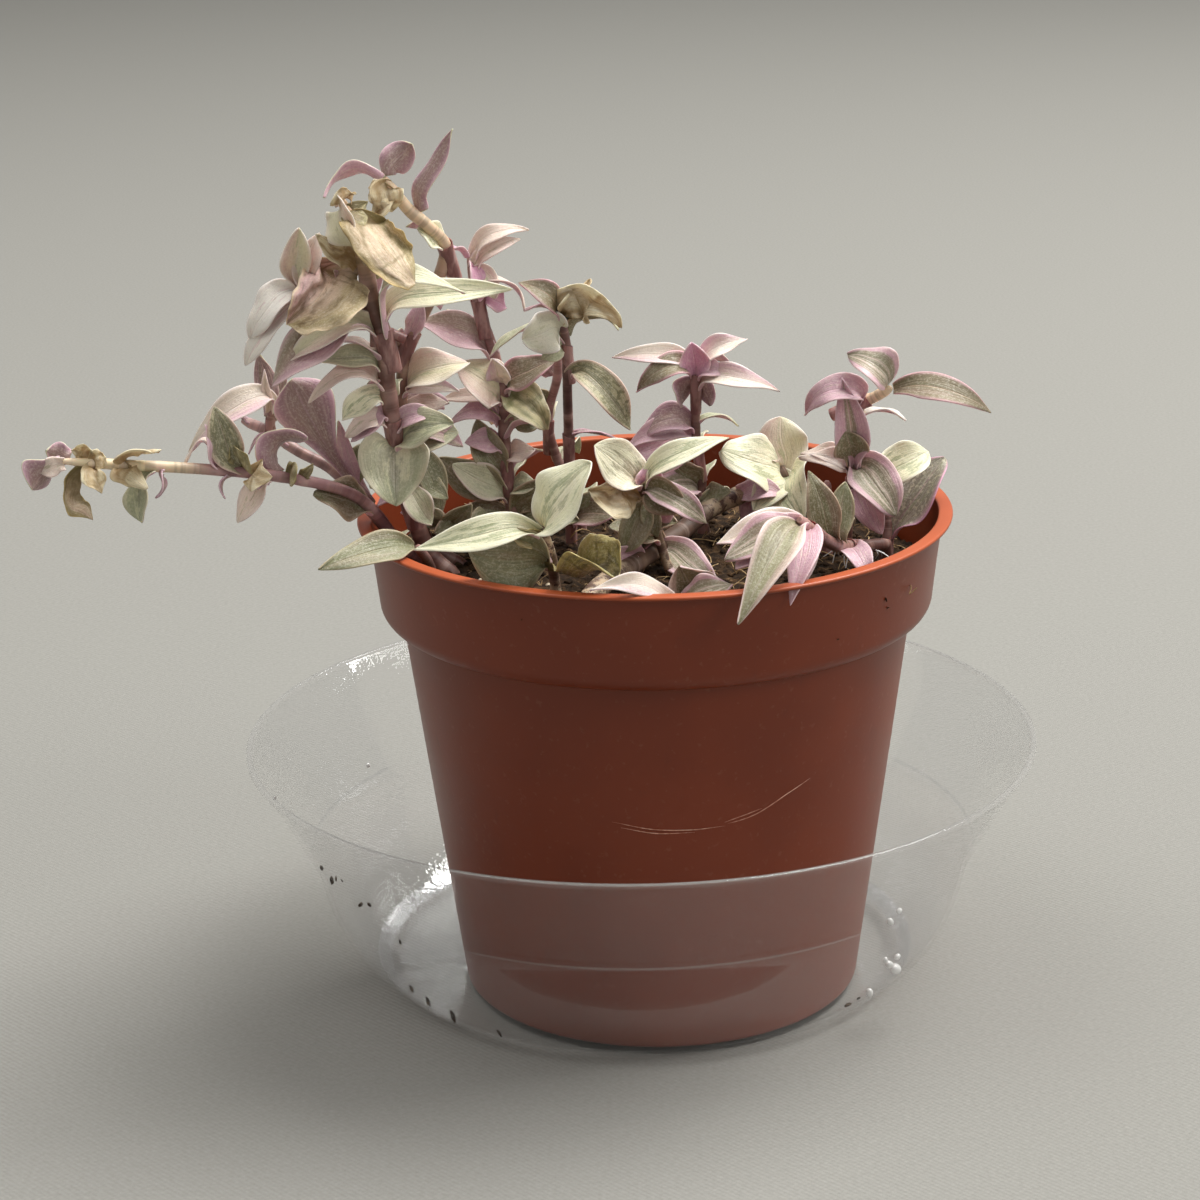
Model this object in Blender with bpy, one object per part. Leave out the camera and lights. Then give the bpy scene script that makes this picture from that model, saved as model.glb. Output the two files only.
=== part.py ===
"""Potted turtle vine: a nursery pot of variegated turtle vine standing in a deep clear saucer.

Metres, +Z up.  The origin is the centre of the saucer's flat underside.  The pot stands a little in
front of the saucer's centre, and the plant is laid out from the pot's axis at table level.
"""

import math

import bmesh
import bpy
from mathutils import Vector, noise

MM = 0.001

# Driving dimensions, in millimetres.
POT_AXIS = (3.5, -9.5)
GAP = 0.3
SEGMENTS = 48

LIP_RADIUS = 60.0
LIP_TOP = 101.5
LIP_WIDTH = 2.9
LIP_THICKNESS = 0.9
COLLAR_TOP_RADIUS = 58.1
COLLAR_RADIUS = 55.9
COLLAR_BOTTOM_RADIUS = 53.6
COLLAR_BOTTOM = 81.1
BODY_TOP_RADIUS = 51.7
BASE_RADIUS = 41.3
POT_WALL = 1.0
POT_FLOOR = 1.3
FOOT_HEIGHT = 1.5
FOOT_WIDTH = 4.0
DRAIN_HOLES = 6
DRAIN_RADIUS = 3.5
DRAIN_CIRCLE = 29.0

SAUCER_WALL = 0.8
SAUCER_FLAT_RADIUS = 50.5
# The rounded wall between the flat base and the step: radius, height, and how far down its outer
# side faces, in degrees.
SAUCER_BOWL = ((56.5, 2.6, 53), (61.5, 6.9, 38), (65.5, 13.0, 25), (68.0, 20.0, 16))
SAUCER_STEP_RADIUS = 69.8
SAUCER_STEP_HEIGHT = 27.2
SAUCER_RIM_RADIUS = 82.8
SAUCER_HEIGHT = 50.5

SOIL_LEVEL = 91.6
SOIL_LUMP = 0.8
SOIL_RINGS = (12, 24, 35, 45, 52)
SOIL_SIDES = 32

LEAF_THICKNESS = 0.6
LEAF_ROWS = 6
STEM_STEPS = 3
STEM_SIDES = 2
BRANCH_SHARE = 0.65

# Which way a leaf's upper side looks: up, front, back, left, right.
FACING = {
    "U": (0, 0, 1),
    "F": (0, -1, 0),
    "B": (0, 1, 0),
    "L": (-1, 0, 0),
    "R": (1, 0, 0),
}

# Colour and roughness of each finish.
FINISHES = {
    "terracotta_plastic": ((0.16, 0.034, 0.013), 0.38),
    "clear_plastic": ((0.90, 0.92, 0.93), 0.06),
    "compost": ((0.030, 0.018, 0.012), 0.95),
    "stem_purple": ((0.13, 0.05, 0.06), 0.5),
    "stem_brown": ((0.20, 0.13, 0.09), 0.8),
    "sage": ((0.30, 0.36, 0.20), 0.5),
    "cream": ((0.58, 0.60, 0.42), 0.5),
    "blush": ((0.66, 0.50, 0.46), 0.5),
    "mauve": ((0.38, 0.20, 0.28), 0.5),
    "plum": ((0.24, 0.11, 0.20), 0.5),
    "olive": ((0.10, 0.11, 0.05), 0.5),
    "dried": ((0.52, 0.38, 0.22), 0.85),
}

# Each shoot: name, radius, finish, route of its middle line, side branches and leaves.  The routes
# are in millimetres from the pot's axis.  A leaf is its name, how far along the line it grows, the
# offset of its tip from there, how far its middle arches, its width, its facing, shape and finish.
SHOOTS = (
    ("trailing", 1.3, "stem_purple",
     ((-42, -6, 87), (-46, -7, 93), (-51, -8, 97), (-56, -10, 105), (-62, -12, 110),
      (-75, -15, 114), (-89, -18, 116.5), (-103, -22, 120), (-114, -25, 122)),
     (((-50, -8, 96), (-47, -14, 96.5), (-45.5, -20, 98.5), (-46.5, -29, 102)),),
     (("tip_plum", 1.0, (-6, -2, -5), 0.5, 9, "BU", "spoon", "plum"),
      ("paper_curl", 0.935, (0.5, -3, -11.5), 4, 4, "L", "oval", "dried"),
      ("hanging_sage", 0.80, (-2.5, -3, -10.5), 0.5, 7, "FL", "spoon", "sage"),
      ("upright_sage", 0.60, (-4.5, 1, 15), 0.5, 5.5, "F", "oval", "sage"),
      ("arched_plum", 0.53, (6, 1, 7), 5, 6, "LUB", "oval", "plum"),
      ("shoulder_olive", 0.33, (-11, -7, 6), 0.5, 9, "F", "oval", "olive"))),
    ("rising", 1.2, "stem_purple",
     ((-40, -1, 87), (-44, -2, 92), (-51, -4, 96), (-57, -6, 104), (-64, -5, 112), (-71, -4, 116),
      (-77, -3, 120), (-82, -2, 122)),
     (((-76, -3.3, 119.6), (-76, -3.5, 123), (-74, -3, 127)),),
     (("broad_plum", 0.44, (-14, 5, 24), 0.5, 11, "B", "spoon", "plum"),)),
    ("main", 1.7, "stem_purple",
     ((-37, -9, 86), (-41, -9, 91), (-46, -9, 97), (-50, -10, 112), (-51, -11, 121),
      (-52, -12, 131), (-52, -13, 140), (-54, -14, 148), (-55, -15, 155), (-56, -15, 161),
      (-59, -15, 168)),
     (((-52.5, -13, 142), (-60, -13, 146), (-68.5, -12, 151)),),
     (("long_cream", 0.74, (-18, -5.5, -8), 4, 5, "UF", "lance", "cream"),
      ("wide_cream", 0.73, (26.5, 0, 3.5), 1, 6.5, "FU", "lance", "cream"),
      ("heart_sage", 0.42, (0, -8, -10.5), 1, 12.5, "FU", "oval", "sage"),
      ("dried_large", 0.94, (11, -5, -10), 2, 6.5, "F", "spoon", "dried"),
      ("dried_left", 0.85, (-15, -5, -9), 1, 8, "FU", "oval", "dried"))),
    ("leaning", 1.3, "stem_purple",
     ((-36, -2, 87), (-39, -3, 91), (-46, -4, 97), (-49, -4, 111), (-50, -4, 125), (-48, -4, 137),
      (-43, -4, 147), (-41, -5, 154), (-44, -7, 159), (-47, -8, 164), (-51, -9, 171)),
     (),
     (("arched_top", 1.0, (-11.5, -3, -3), 3.5, 4, "UB", "lance", "mauve"),
      ("upright_plum", 0.92, (7.5, 1, 16), -1, 4.5, "BR", "lance", "plum"),
      ("broad_blush", 0.50, (13.5, -2, 6), 2.5, 6.5, "FU", "oval", "blush"),
      ("round_sage", 0.37, (11, -3, 3), 0.5, 8.5, "FU", "oval", "sage"))),
    ("magenta", 1.2, "stem_purple",
     ((-26, 4, 86), (-27, 4, 91), (-29, 4, 101), (-30, 5, 115), (-30, 6, 125), (-32, 6, 134),
      (-34, 6, 141), (-36, 8, 152)),
     (),
     (("top_blush", 1.0, (11.5, 3, 4.5), 2, 4.5, "UF", "lance", "blush"),
      ("white_blush", 0.55, (-9.5, -6, 8), 1, 8, "FU", "oval", "blush"),
      ("low_sage", 0.27, (-11.5, -3, 8), 0.5, 6.5, "FU", "oval", "sage"))),
    ("dark", 1.0, "stem_purple",
     ((-17, 11, 86), (-17, 10, 91), (-17, 8, 101), (-17, 4, 114), (-17, 2, 126), (-17, 1, 135),
      (-18, 0, 141)),
     (),
     (("left_blush", 1.0, (-8, -1, 7.5), 3.5, 5, "U", "oval", "blush"),
      ("right_dried", 1.0, (9, -2, 2), 5, 5.5, "U", "oval", "dried"),
      ("long_sage", 0.91, (-15, -3, -2), 3, 5, "U", "lance", "sage"),
      ("drooping_sage", 0.80, (10.5, -4, -11), 4, 8, "FUR", "spoon", "sage"))),
    ("back", 1.0, "stem_purple",
     ((-14, 20, 86), (-15, 19, 91), (-16, 18, 100), (-19, 17, 106), (-21, 16, 113), (-21, 14, 119),
      (-19, 10, 127), (-19, 7, 134)),
     (),
     ()),
    ("rosette", 1.0, "stem_purple",
     ((11, 16, 86), (11, 15, 91), (10, 14, 96), (10, 13, 105), (9, 12, 113), (9, 10, 123),
      (9, 9, 131)),
     (),
     (("left_blush", 0.93, (-17, -1, 3), 3.5, 4.5, "U", "lance", "blush"),
      ("right_cream", 0.86, (16.8, -3, 0.5), 4, 5, "U", "lance", "cream"),
      ("low_plum", 0.73, (-11.5, -2, -1.5), 3.5, 6.5, "UB", "oval", "plum"))),
    ("woody", 2.0, "stem_brown",
     ((-18, -46, 88), (-16, -42, 91.5), (-12, -34, 95), (-4, -16, 95), (5, 0, 96),
      (11.5, 8, 98.5), (20, 16, 100), (28, 18, 103)),
     (),
     (("oval_cream", 1.0, (-15, -8, 6.5), 0.5, 10.5, "FU", "oval", "cream"),
      ("wide_cream", 1.0, (3, -12, -6), 2, 12, "FU", "oval", "cream"),
      ("upright_blush", 0.94, (1.5, 4.5, 12.5), 0.5, 8.5, "F", "oval", "blush"))),
    ("lying", 1.3, "stem_purple",
     ((46, -8, 95), (40, -14, 96.5), (35, -22, 99.3), (29.5, -32, 105.3), (25, -40, 110)),
     (((47, -2, 88), (46.5, -6, 94.5), (46, -8, 95)), ((46.7, -4, 92), (47, -1, 98), (46, 0, 106))),
     (("hanging_front", 1.0, (-13, -23, -11.5), 4, 8, "FU", "lance", "sage"),
      ("right_olive", 0.5, (-4.5, 3, 14), 1, 5.5, "F", "lance", "olive"))),
    ("right", 1.2, "stem_purple",
     ((38, 3, 86), (39, 2, 91), (39, 0, 97), (40, -2, 108), (40, -4, 117), (41, -5, 123),
      (44, -6, 125), (47, -7, 127)),
     (),
     (("long_olive", 1.0, (19.5, -3, -4.5), 1.5, 5.5, "FU", "lance", "olive"),
      ("upper_olive", 1.0, (-8.5, 1, 6), 2.5, 8, "FU", "oval", "olive"),
      ("folded_mauve", 0.55, (-3, -6, 20.5), 1.5, 6.5, "F", "lance", "mauve"))),
    ("front", 1.0, "stem_purple",
     ((-18, -41, 86), (-19, -41, 91), (-20, -42, 101), (-20.5, -44, 106), (-23, -46, 111)),
     (),
     (("pale_cream", 1.0, (9, -4, 13.5), 1, 10, "FUL", "oval", "cream"),
      ("long_cream", 0.97, (-24, -3, -2), 1.5, 5, "UF", "lance", "cream"),
      ("broad_olive", 0.64, (-15.5, -1, 3.5), 0.5, 10.5, "F", "oval", "olive"))),
    ("centre", 0.9, "stem_brown",
     ((4, -14, 86), (3, -14, 91), (1, -13, 97), (-1, -16, 105), (-3, -20, 112)),
     (),
     (("long_cream", 1.0, (17.5, 4, 7.5), 3.5, 4.5, "U", "lance", "cream"),
      ("mottled", 0.98, (-9, -3, 9), 0.5, 8.5, "FU", "oval", "sage"))),
)
# Leaves on the side branches: the same, with the two ends given outright.
BRANCH_LEAVES = (
    ("trailing_left_rim", (-47, -30.5, 102.8), (-65, -43.5, 103.6), 1, 6.5, "UF", "lance", "olive"),
    ("rising_long_blush", (-75.4, -3.3, 128.4), (-92.5, -6, 117.5), 3.5, 5, "U", "lance", "blush"),
    ("lying_rim_olive", (50, -1.5, 98.5), (59, 4, 110), 0.5, 9.5, "FLU", "oval", "olive"),
)


def clear_scene():
    for obj in list(bpy.data.objects):
        bpy.data.objects.remove(obj, do_unlink=True)


def finish(name):
    """The Principled material of one finish, made once."""
    material = bpy.data.materials.get(name)
    if material:
        return material
    colour, roughness = FINISHES[name]
    material = bpy.data.materials.new(name)
    material.use_nodes = True
    shader = material.node_tree.nodes["Principled BSDF"]
    shader.inputs["Base Color"].default_value = (*colour, 1.0)
    shader.inputs["Roughness"].default_value = roughness
    shader.inputs["Metallic"].default_value = 0.0
    if name == "clear_plastic":
        shader.inputs["Transmission Weight"].default_value = 0.9
    return material


def add_object(name, mesh, finish_name, parent=None):
    obj = bpy.data.objects.new(name, mesh)
    bpy.context.scene.collection.objects.link(obj)
    obj.data.materials.append(finish(finish_name))
    obj.parent = parent
    return obj


def add_axis(name, x, y):
    axis = bpy.data.objects.new(name, None)
    bpy.context.scene.collection.objects.link(axis)
    axis.location = (x * MM, y * MM, 0.0)
    return axis


def mesh_from(bm, name, sharp_degrees=35):
    bmesh.ops.recalc_face_normals(bm, faces=bm.faces)
    mesh = bpy.data.meshes.new(name)
    bm.to_mesh(mesh)
    bm.free()
    mesh.shade_smooth()
    mesh.set_sharp_from_angle(angle=math.radians(sharp_degrees))
    return mesh


def turned(name, profile):
    """A body turned about Z from (radius, height) points that start and end on the axis."""
    bm = bmesh.new()
    points = [bm.verts.new((r * MM, 0.0, z * MM)) for r, z in profile]
    edges = [bm.edges.new(pair) for pair in zip(points, points[1:])]
    bmesh.ops.spin(bm, geom=points + edges, cent=(0, 0, 0), axis=(0, 0, 1),
                   angle=math.tau, steps=SEGMENTS)
    bmesh.ops.remove_doubles(bm, verts=bm.verts, dist=0.01 * MM)
    return mesh_from(bm, name)


def arc(centre, radius, start, end, steps):
    """Points of a rounded corner, from one angle to another in degrees."""
    angles = [math.radians(start + (end - start) * i / steps) for i in range(steps + 1)]
    return [(centre[0] + radius * math.cos(a), centre[1] + radius * math.sin(a)) for a in angles]


def pot_inner_radius(z):
    """Radius of the pot's bore at a height, in millimetres."""
    step = COLLAR_BOTTOM + 3.0
    if z >= step:
        share = (z - step) / (LIP_TOP - step)
        return COLLAR_RADIUS - POT_WALL + share * (COLLAR_TOP_RADIUS - COLLAR_RADIUS)
    share = (z - pot_underside()) / (COLLAR_BOTTOM - pot_underside())
    return BASE_RADIUS - POT_WALL + share * (BODY_TOP_RADIUS - BASE_RADIUS)


def pot_underside():
    return SAUCER_WALL + GAP


def pot_floor_top():
    return pot_underside() + FOOT_HEIGHT + POT_FLOOR


def make_pot(axis):
    base = pot_underside()
    foot = BASE_RADIUS - FOOT_WIDTH
    under_lip = LIP_TOP - LIP_THICKNESS
    lip = LIP_THICKNESS / 2
    step = COLLAR_BOTTOM + 3.0
    profile = [(0, base + FOOT_HEIGHT), (foot - 1, base + FOOT_HEIGHT), (foot, base)]
    profile += arc((BASE_RADIUS - 1, base + 1), 1, -90, 0, 3)
    profile += [(BODY_TOP_RADIUS, COLLAR_BOTTOM - 0.6), (BODY_TOP_RADIUS + 0.6, COLLAR_BOTTOM)]
    profile += arc((COLLAR_RADIUS - 3, COLLAR_BOTTOM + 3), 3, -75, 0, 4)
    profile += [(COLLAR_TOP_RADIUS - 0.1, under_lip - 0.3), (COLLAR_TOP_RADIUS + 0.3, under_lip)]
    profile += arc((LIP_RADIUS - lip, under_lip + lip), lip, -90, 90, 4)
    profile += arc((LIP_RADIUS - LIP_WIDTH + 0.4, LIP_TOP - 0.4), 0.4, 90, 180, 2)
    profile += [(pot_inner_radius(step), step), (pot_inner_radius(COLLAR_BOTTOM - 1), COLLAR_BOTTOM - 1)]
    profile += [(pot_inner_radius(pot_floor_top()), pot_floor_top()), (0, pot_floor_top())]
    pot = add_object("pot", turned("pot", profile), "terracotta_plastic")
    pot.location = axis.location
    cutter = drain_cutter(axis)
    cut = pot.modifiers.new("drain_holes", "BOOLEAN")
    cut.object = cutter
    return pot


def drain_cutter(axis):
    """The drainage holes, as one set of short rods through the pot's floor."""
    bm = bmesh.new()
    for i in range(DRAIN_HOLES):
        angle = math.tau * i / DRAIN_HOLES
        rod = bmesh.ops.create_cone(bm, cap_ends=True, segments=12, radius1=DRAIN_RADIUS * MM,
                                    radius2=DRAIN_RADIUS * MM, depth=8 * MM)
        offset = Vector((math.cos(angle), math.sin(angle), 0)) * DRAIN_CIRCLE * MM
        offset.z = (pot_floor_top() - POT_FLOOR / 2) * MM
        bmesh.ops.translate(bm, verts=rod["verts"], vec=offset)
    cutter = add_object("drain_cutter", mesh_from(bm, "drain_cutter"), "terracotta_plastic")
    cutter.location = axis.location
    return as_cutter(cutter)


def as_cutter(obj):
    obj.hide_render = True
    obj.display_type = "WIRE"
    return obj


def make_saucer():
    """A deep dish with a rounded bowl, a step ring, a flare above it, and a rolled edge."""
    wall = SAUCER_WALL
    rim, top = SAUCER_RIM_RADIUS, SAUCER_HEIGHT
    step_r, step_z = SAUCER_STEP_RADIUS, SAUCER_STEP_HEIGHT
    outer = [(0, 0), (SAUCER_FLAT_RADIUS, 0), *[(r, z) for r, z, _ in SAUCER_BOWL]]
    outer += [(step_r - 0.6, step_z - 1.2), (step_r, step_z)]
    outer += [(rim - 2.0, top - 2.2)]
    edge = arc((rim - 0.9, top - 0.9), 0.9, -40, 140, 5)
    inner = [(rim - 2.9, top - 2.4), (step_r - 0.8, step_z + 0.5), (step_r - 1.4, step_z - 0.8)]
    inner += [(r - wall * math.cos(math.radians(down)), z + wall * math.sin(math.radians(down)))
              for r, z, down in reversed(SAUCER_BOWL)]
    inner += [(SAUCER_FLAT_RADIUS, wall), (0, wall)]
    return add_object("saucer", turned("saucer", outer + edge + inner), "clear_plastic")


def soil_height(x, y):
    """Height of the compost's surface: low at the back right, lumpy all over."""
    fall = max(0.0, (x + y - 20.0) / 60.0)
    lumps = noise.noise(Vector((x, y, 3.0)) / 9.0) + 0.5 * noise.noise(Vector((x, y, 8.0)) / 4.0)
    return SOIL_LEVEL - 3.0 * fall + SOIL_LUMP * lumps


def make_soil(axis):
    """The compost plug: rings up the pot's bore, then rings in over the lumpy top."""
    bm = bmesh.new()
    floor = pot_floor_top() + GAP
    step = COLLAR_BOTTOM + 3.2
    sides = [(floor, pot_inner_radius(floor)), (COLLAR_BOTTOM - 1, pot_inner_radius(COLLAR_BOTTOM - 1)),
             (step, pot_inner_radius(step))]
    rings = [soil_ring(bm, radius - 2 * GAP, z) for z, radius in sides]
    rings.append(soil_ring(bm, pot_inner_radius(SOIL_LEVEL) - 2 * GAP, None))
    rings += [soil_ring(bm, radius, None) for radius in reversed(SOIL_RINGS)]
    bmesh.ops.contextual_create(bm, geom=rings[0])
    for lower, upper in zip(rings, rings[1:]):
        for i in range(SOIL_SIDES):
            j = (i + 1) % SOIL_SIDES
            bm.faces.new((lower[i], lower[j], upper[j], upper[i]))
    middle = bm.verts.new((0, 0, soil_height(0, 0) * MM))
    for i in range(SOIL_SIDES):
        bm.faces.new((rings[-1][i], rings[-1][(i + 1) % SOIL_SIDES], middle))
    bmesh.ops.triangulate(bm, faces=[face for face in bm.faces if len(face.verts) == 4])
    soil = add_object("soil", mesh_from(bm, "soil"), "compost")
    soil.location = axis.location
    return soil


def soil_ring(bm, radius, z):
    ring = []
    for i in range(SOIL_SIDES):
        angle = math.tau * i / SOIL_SIDES
        x, y = radius * math.cos(angle), radius * math.sin(angle)
        height = soil_height(x, y) if z is None else z
        ring.append(bm.verts.new((x * MM, y * MM, height * MM)))
    return ring


def smooth_line(route, steps):
    """Points on a smooth curve through the route's own points."""
    points = [Vector(p) for p in route]
    points = [2 * points[0] - points[1], *points, 2 * points[-1] - points[-2]]
    line = []
    for a, b, c, d in zip(points, points[1:], points[2:], points[3:]):
        for k in range(steps):
            t = k / steps
            line.append(0.5 * (2 * b + (c - a) * t + (2 * a - 5 * b + 4 * c - d) * t * t
                               + (3 * b - a - 3 * c + d) * t ** 3))
    line.append(points[-2])
    return line


def point_at(line, share):
    """The point a share of the way along a line."""
    lengths = [(b - a).length for a, b in zip(line, line[1:])]
    left = share * sum(lengths)
    for a, b, length in zip(line, line[1:], lengths):
        if left <= length:
            return a.lerp(b, left / length)
        left -= length
    return line[-1].copy()


def tube(name, line, radius):
    """A round stem along a line, as a mesh with filled ends."""
    curve = bpy.data.curves.new(name, "CURVE")
    curve.dimensions = "3D"
    curve.bevel_depth = radius * MM
    curve.bevel_resolution = STEM_SIDES - 1
    curve.use_fill_caps = True
    spline = curve.splines.new("POLY")
    spline.points.add(len(line) - 1)
    for target, point in zip(spline.points, line):
        target.co = (*(point * MM), 1.0)
    guide = bpy.data.objects.new(name, curve)
    bpy.context.scene.collection.objects.link(guide)
    graph = bpy.context.evaluated_depsgraph_get()
    mesh = bpy.data.meshes.new_from_object(guide.evaluated_get(graph))
    bpy.data.objects.remove(guide, do_unlink=True)
    bpy.data.curves.remove(curve)
    bm = bmesh.new()
    bm.from_mesh(mesh)
    bmesh.ops.remove_doubles(bm, verts=bm.verts, dist=0.001 * MM)
    bpy.data.meshes.remove(mesh)
    return mesh_from(bm, name, 60)


def join_branch(stem, branch):
    """Grows a side branch and its stem into one body."""
    union = stem.modifiers.new("branch", "BOOLEAN")
    union.operation = "UNION"
    union.object = as_cutter(branch)


def make_stem(shoot, plant, soil):
    name, radius, finish_name, route, branches, _ = shoot
    line = smooth_line(route, STEM_STEPS)
    stem = add_object(f"stem_{name}", tube(name, line, radius), finish_name, plant)
    clearance = [add_object(f"socket_{name}", tube(name, line, radius + GAP), finish_name, plant)]
    for i, branch in enumerate(branches):
        branch_line = smooth_line(branch, STEM_STEPS)
        side = add_object(f"branch_{name}_{i}", tube(name, branch_line, BRANCH_SHARE * radius),
                          finish_name, plant)
        join_branch(stem, side)
        clearance.append(add_object(f"socket_{name}_{i}", tube(name, branch_line, radius + GAP),
                                    finish_name, plant))
    for socket in clearance:
        cut = soil.modifiers.new(socket.name, "BOOLEAN")
        cut.object = as_cutter(socket)
    return line


def leaf_width(shape, t):
    """Half width of a leaf as a share of its greatest, from base to tip."""
    bias = {"lance": 0.72, "oval": 0.85, "spoon": 1.35}[shape]
    return math.sin(math.pi * t ** bias) ** 0.8 + 0.22 * (1 - t) ** 3


def skin_point(line, share, reach, clearance):
    """Where a leaf leaves its stem: beside the stem, or past its end for a leaf at the very tip."""
    base = point_at(line, share)
    outward = Vector(reach)
    if share < 0.99:
        along = (point_at(line, share + 0.01) - point_at(line, share - 0.01)).normalized()
        outward -= outward.dot(along) * along
    return base + outward.normalized() * clearance, base + Vector(reach)


def make_leaf(name, start, tip, leaf, plant):
    """A thin arched blade, gently cupped along its midrib, from one point to another."""
    arch, width, facing, shape, finish_name = leaf
    reach = tip - start
    along = reach.normalized()
    face = sum((Vector(FACING[letter]) for letter in facing), Vector())
    face = (face - face.dot(along) * along).normalized()
    bm = bmesh.new()
    rows = []
    for i in range(LEAF_ROWS + 1):
        t = i / LEAF_ROWS
        middle = start + reach * t + face * arch * 4 * t * (1 - t)
        heading = (reach + face * arch * 4 * (1 - 2 * t)).normalized()
        across = heading.cross(face).normalized()
        half = 0.5 * width * leaf_width(shape, t)
        lift = across.cross(heading).normalized() * 0.2 * half
        if i == LEAF_ROWS:
            rows.append([bm.verts.new(middle * MM)])
            continue
        rows.append([bm.verts.new((middle + across * half * side + lift * abs(side)) * MM)
                     for side in (-1, 0, 1)])
    for lower, upper in zip(rows, rows[1:-1]):
        for k in range(2):
            bm.faces.new((lower[k], lower[k + 1], upper[k + 1], upper[k]))
    for k in range(2):
        bm.faces.new((rows[-2][k], rows[-2][k + 1], rows[-1][0]))
    leaf_object = add_object(name, mesh_from(bm, name, 50), finish_name, plant)
    blade = leaf_object.modifiers.new("blade", "SOLIDIFY")
    blade.thickness = LEAF_THICKNESS * MM
    blade.offset = 0.0
    return leaf_object


def make_plant(plant, soil):
    for shoot in SHOOTS:
        line = make_stem(shoot, plant, soil)
        name, radius, _, _, _, leaves = shoot
        clearance = radius + GAP + LEAF_THICKNESS
        for leaf_name, share, reach, *leaf in leaves:
            start, tip = skin_point(line, share, reach, clearance)
            make_leaf(f"leaf_{name}_{leaf_name}", start, tip, leaf, plant)
    for name, start, tip, *leaf in BRANCH_LEAVES:
        make_leaf(f"leaf_{name}", Vector(start), Vector(tip), leaf, plant)


def main():
    clear_scene()
    axis = add_axis("pot_axis", *POT_AXIS)
    plant = add_axis("plant", *POT_AXIS)
    bpy.context.view_layer.update()
    make_saucer()
    make_pot(axis)
    soil = make_soil(axis)
    make_plant(plant, soil)


main()
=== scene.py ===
"""Looks for the potted turtle vine: a variegated vine in a terracotta-coloured nursery pot, which
stands in a deep clear saucer.

Lengths in the tables are millimetres.  The plant is laid out from the pot's axis at table level, as
the solids are, and each shoot is a route of points with leaves at shares of its length.
"""

import math
import random

import bpy
from mathutils import Matrix, Vector, noise


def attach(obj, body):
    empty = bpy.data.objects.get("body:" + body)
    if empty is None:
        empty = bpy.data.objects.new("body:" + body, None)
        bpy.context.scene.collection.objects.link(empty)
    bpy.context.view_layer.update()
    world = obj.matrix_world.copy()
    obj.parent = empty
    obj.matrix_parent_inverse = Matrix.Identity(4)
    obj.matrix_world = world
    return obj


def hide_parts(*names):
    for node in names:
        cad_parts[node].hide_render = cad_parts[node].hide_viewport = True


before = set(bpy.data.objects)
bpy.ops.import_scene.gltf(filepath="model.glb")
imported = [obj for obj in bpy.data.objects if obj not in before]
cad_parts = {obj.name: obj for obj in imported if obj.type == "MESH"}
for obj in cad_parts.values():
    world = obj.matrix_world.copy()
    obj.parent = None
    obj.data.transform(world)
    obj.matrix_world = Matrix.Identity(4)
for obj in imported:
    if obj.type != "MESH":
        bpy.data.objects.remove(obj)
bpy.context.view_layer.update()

MM = 0.001
POT_AXIS = Vector((3.5, -9.5, 0))
# The compost's height in the middle and where it meets the pot's wall.
COMPOST_LEVEL, COMPOST_EDGE = 91.6, 90
# How far from the pot's axis crumbs and fibres lie.
STREWN_RADIUS = 53
SEED = 7
# Points of a mesh nearer than this are one point, in metres.
DOUBLES = 0.00002

# ---------------------------------------------------------------------------------------------
# The plant
# ---------------------------------------------------------------------------------------------

FACING = {
    "U": Vector((0, 0, 1)),
    "D": Vector((0, 0, -1)),
    "F": Vector((0, -1, 0)),
    "B": Vector((0, 1, 0)),
    "L": Vector((-1, 0, 0)),
    "R": Vector((1, 0, 0)),
}

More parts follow.
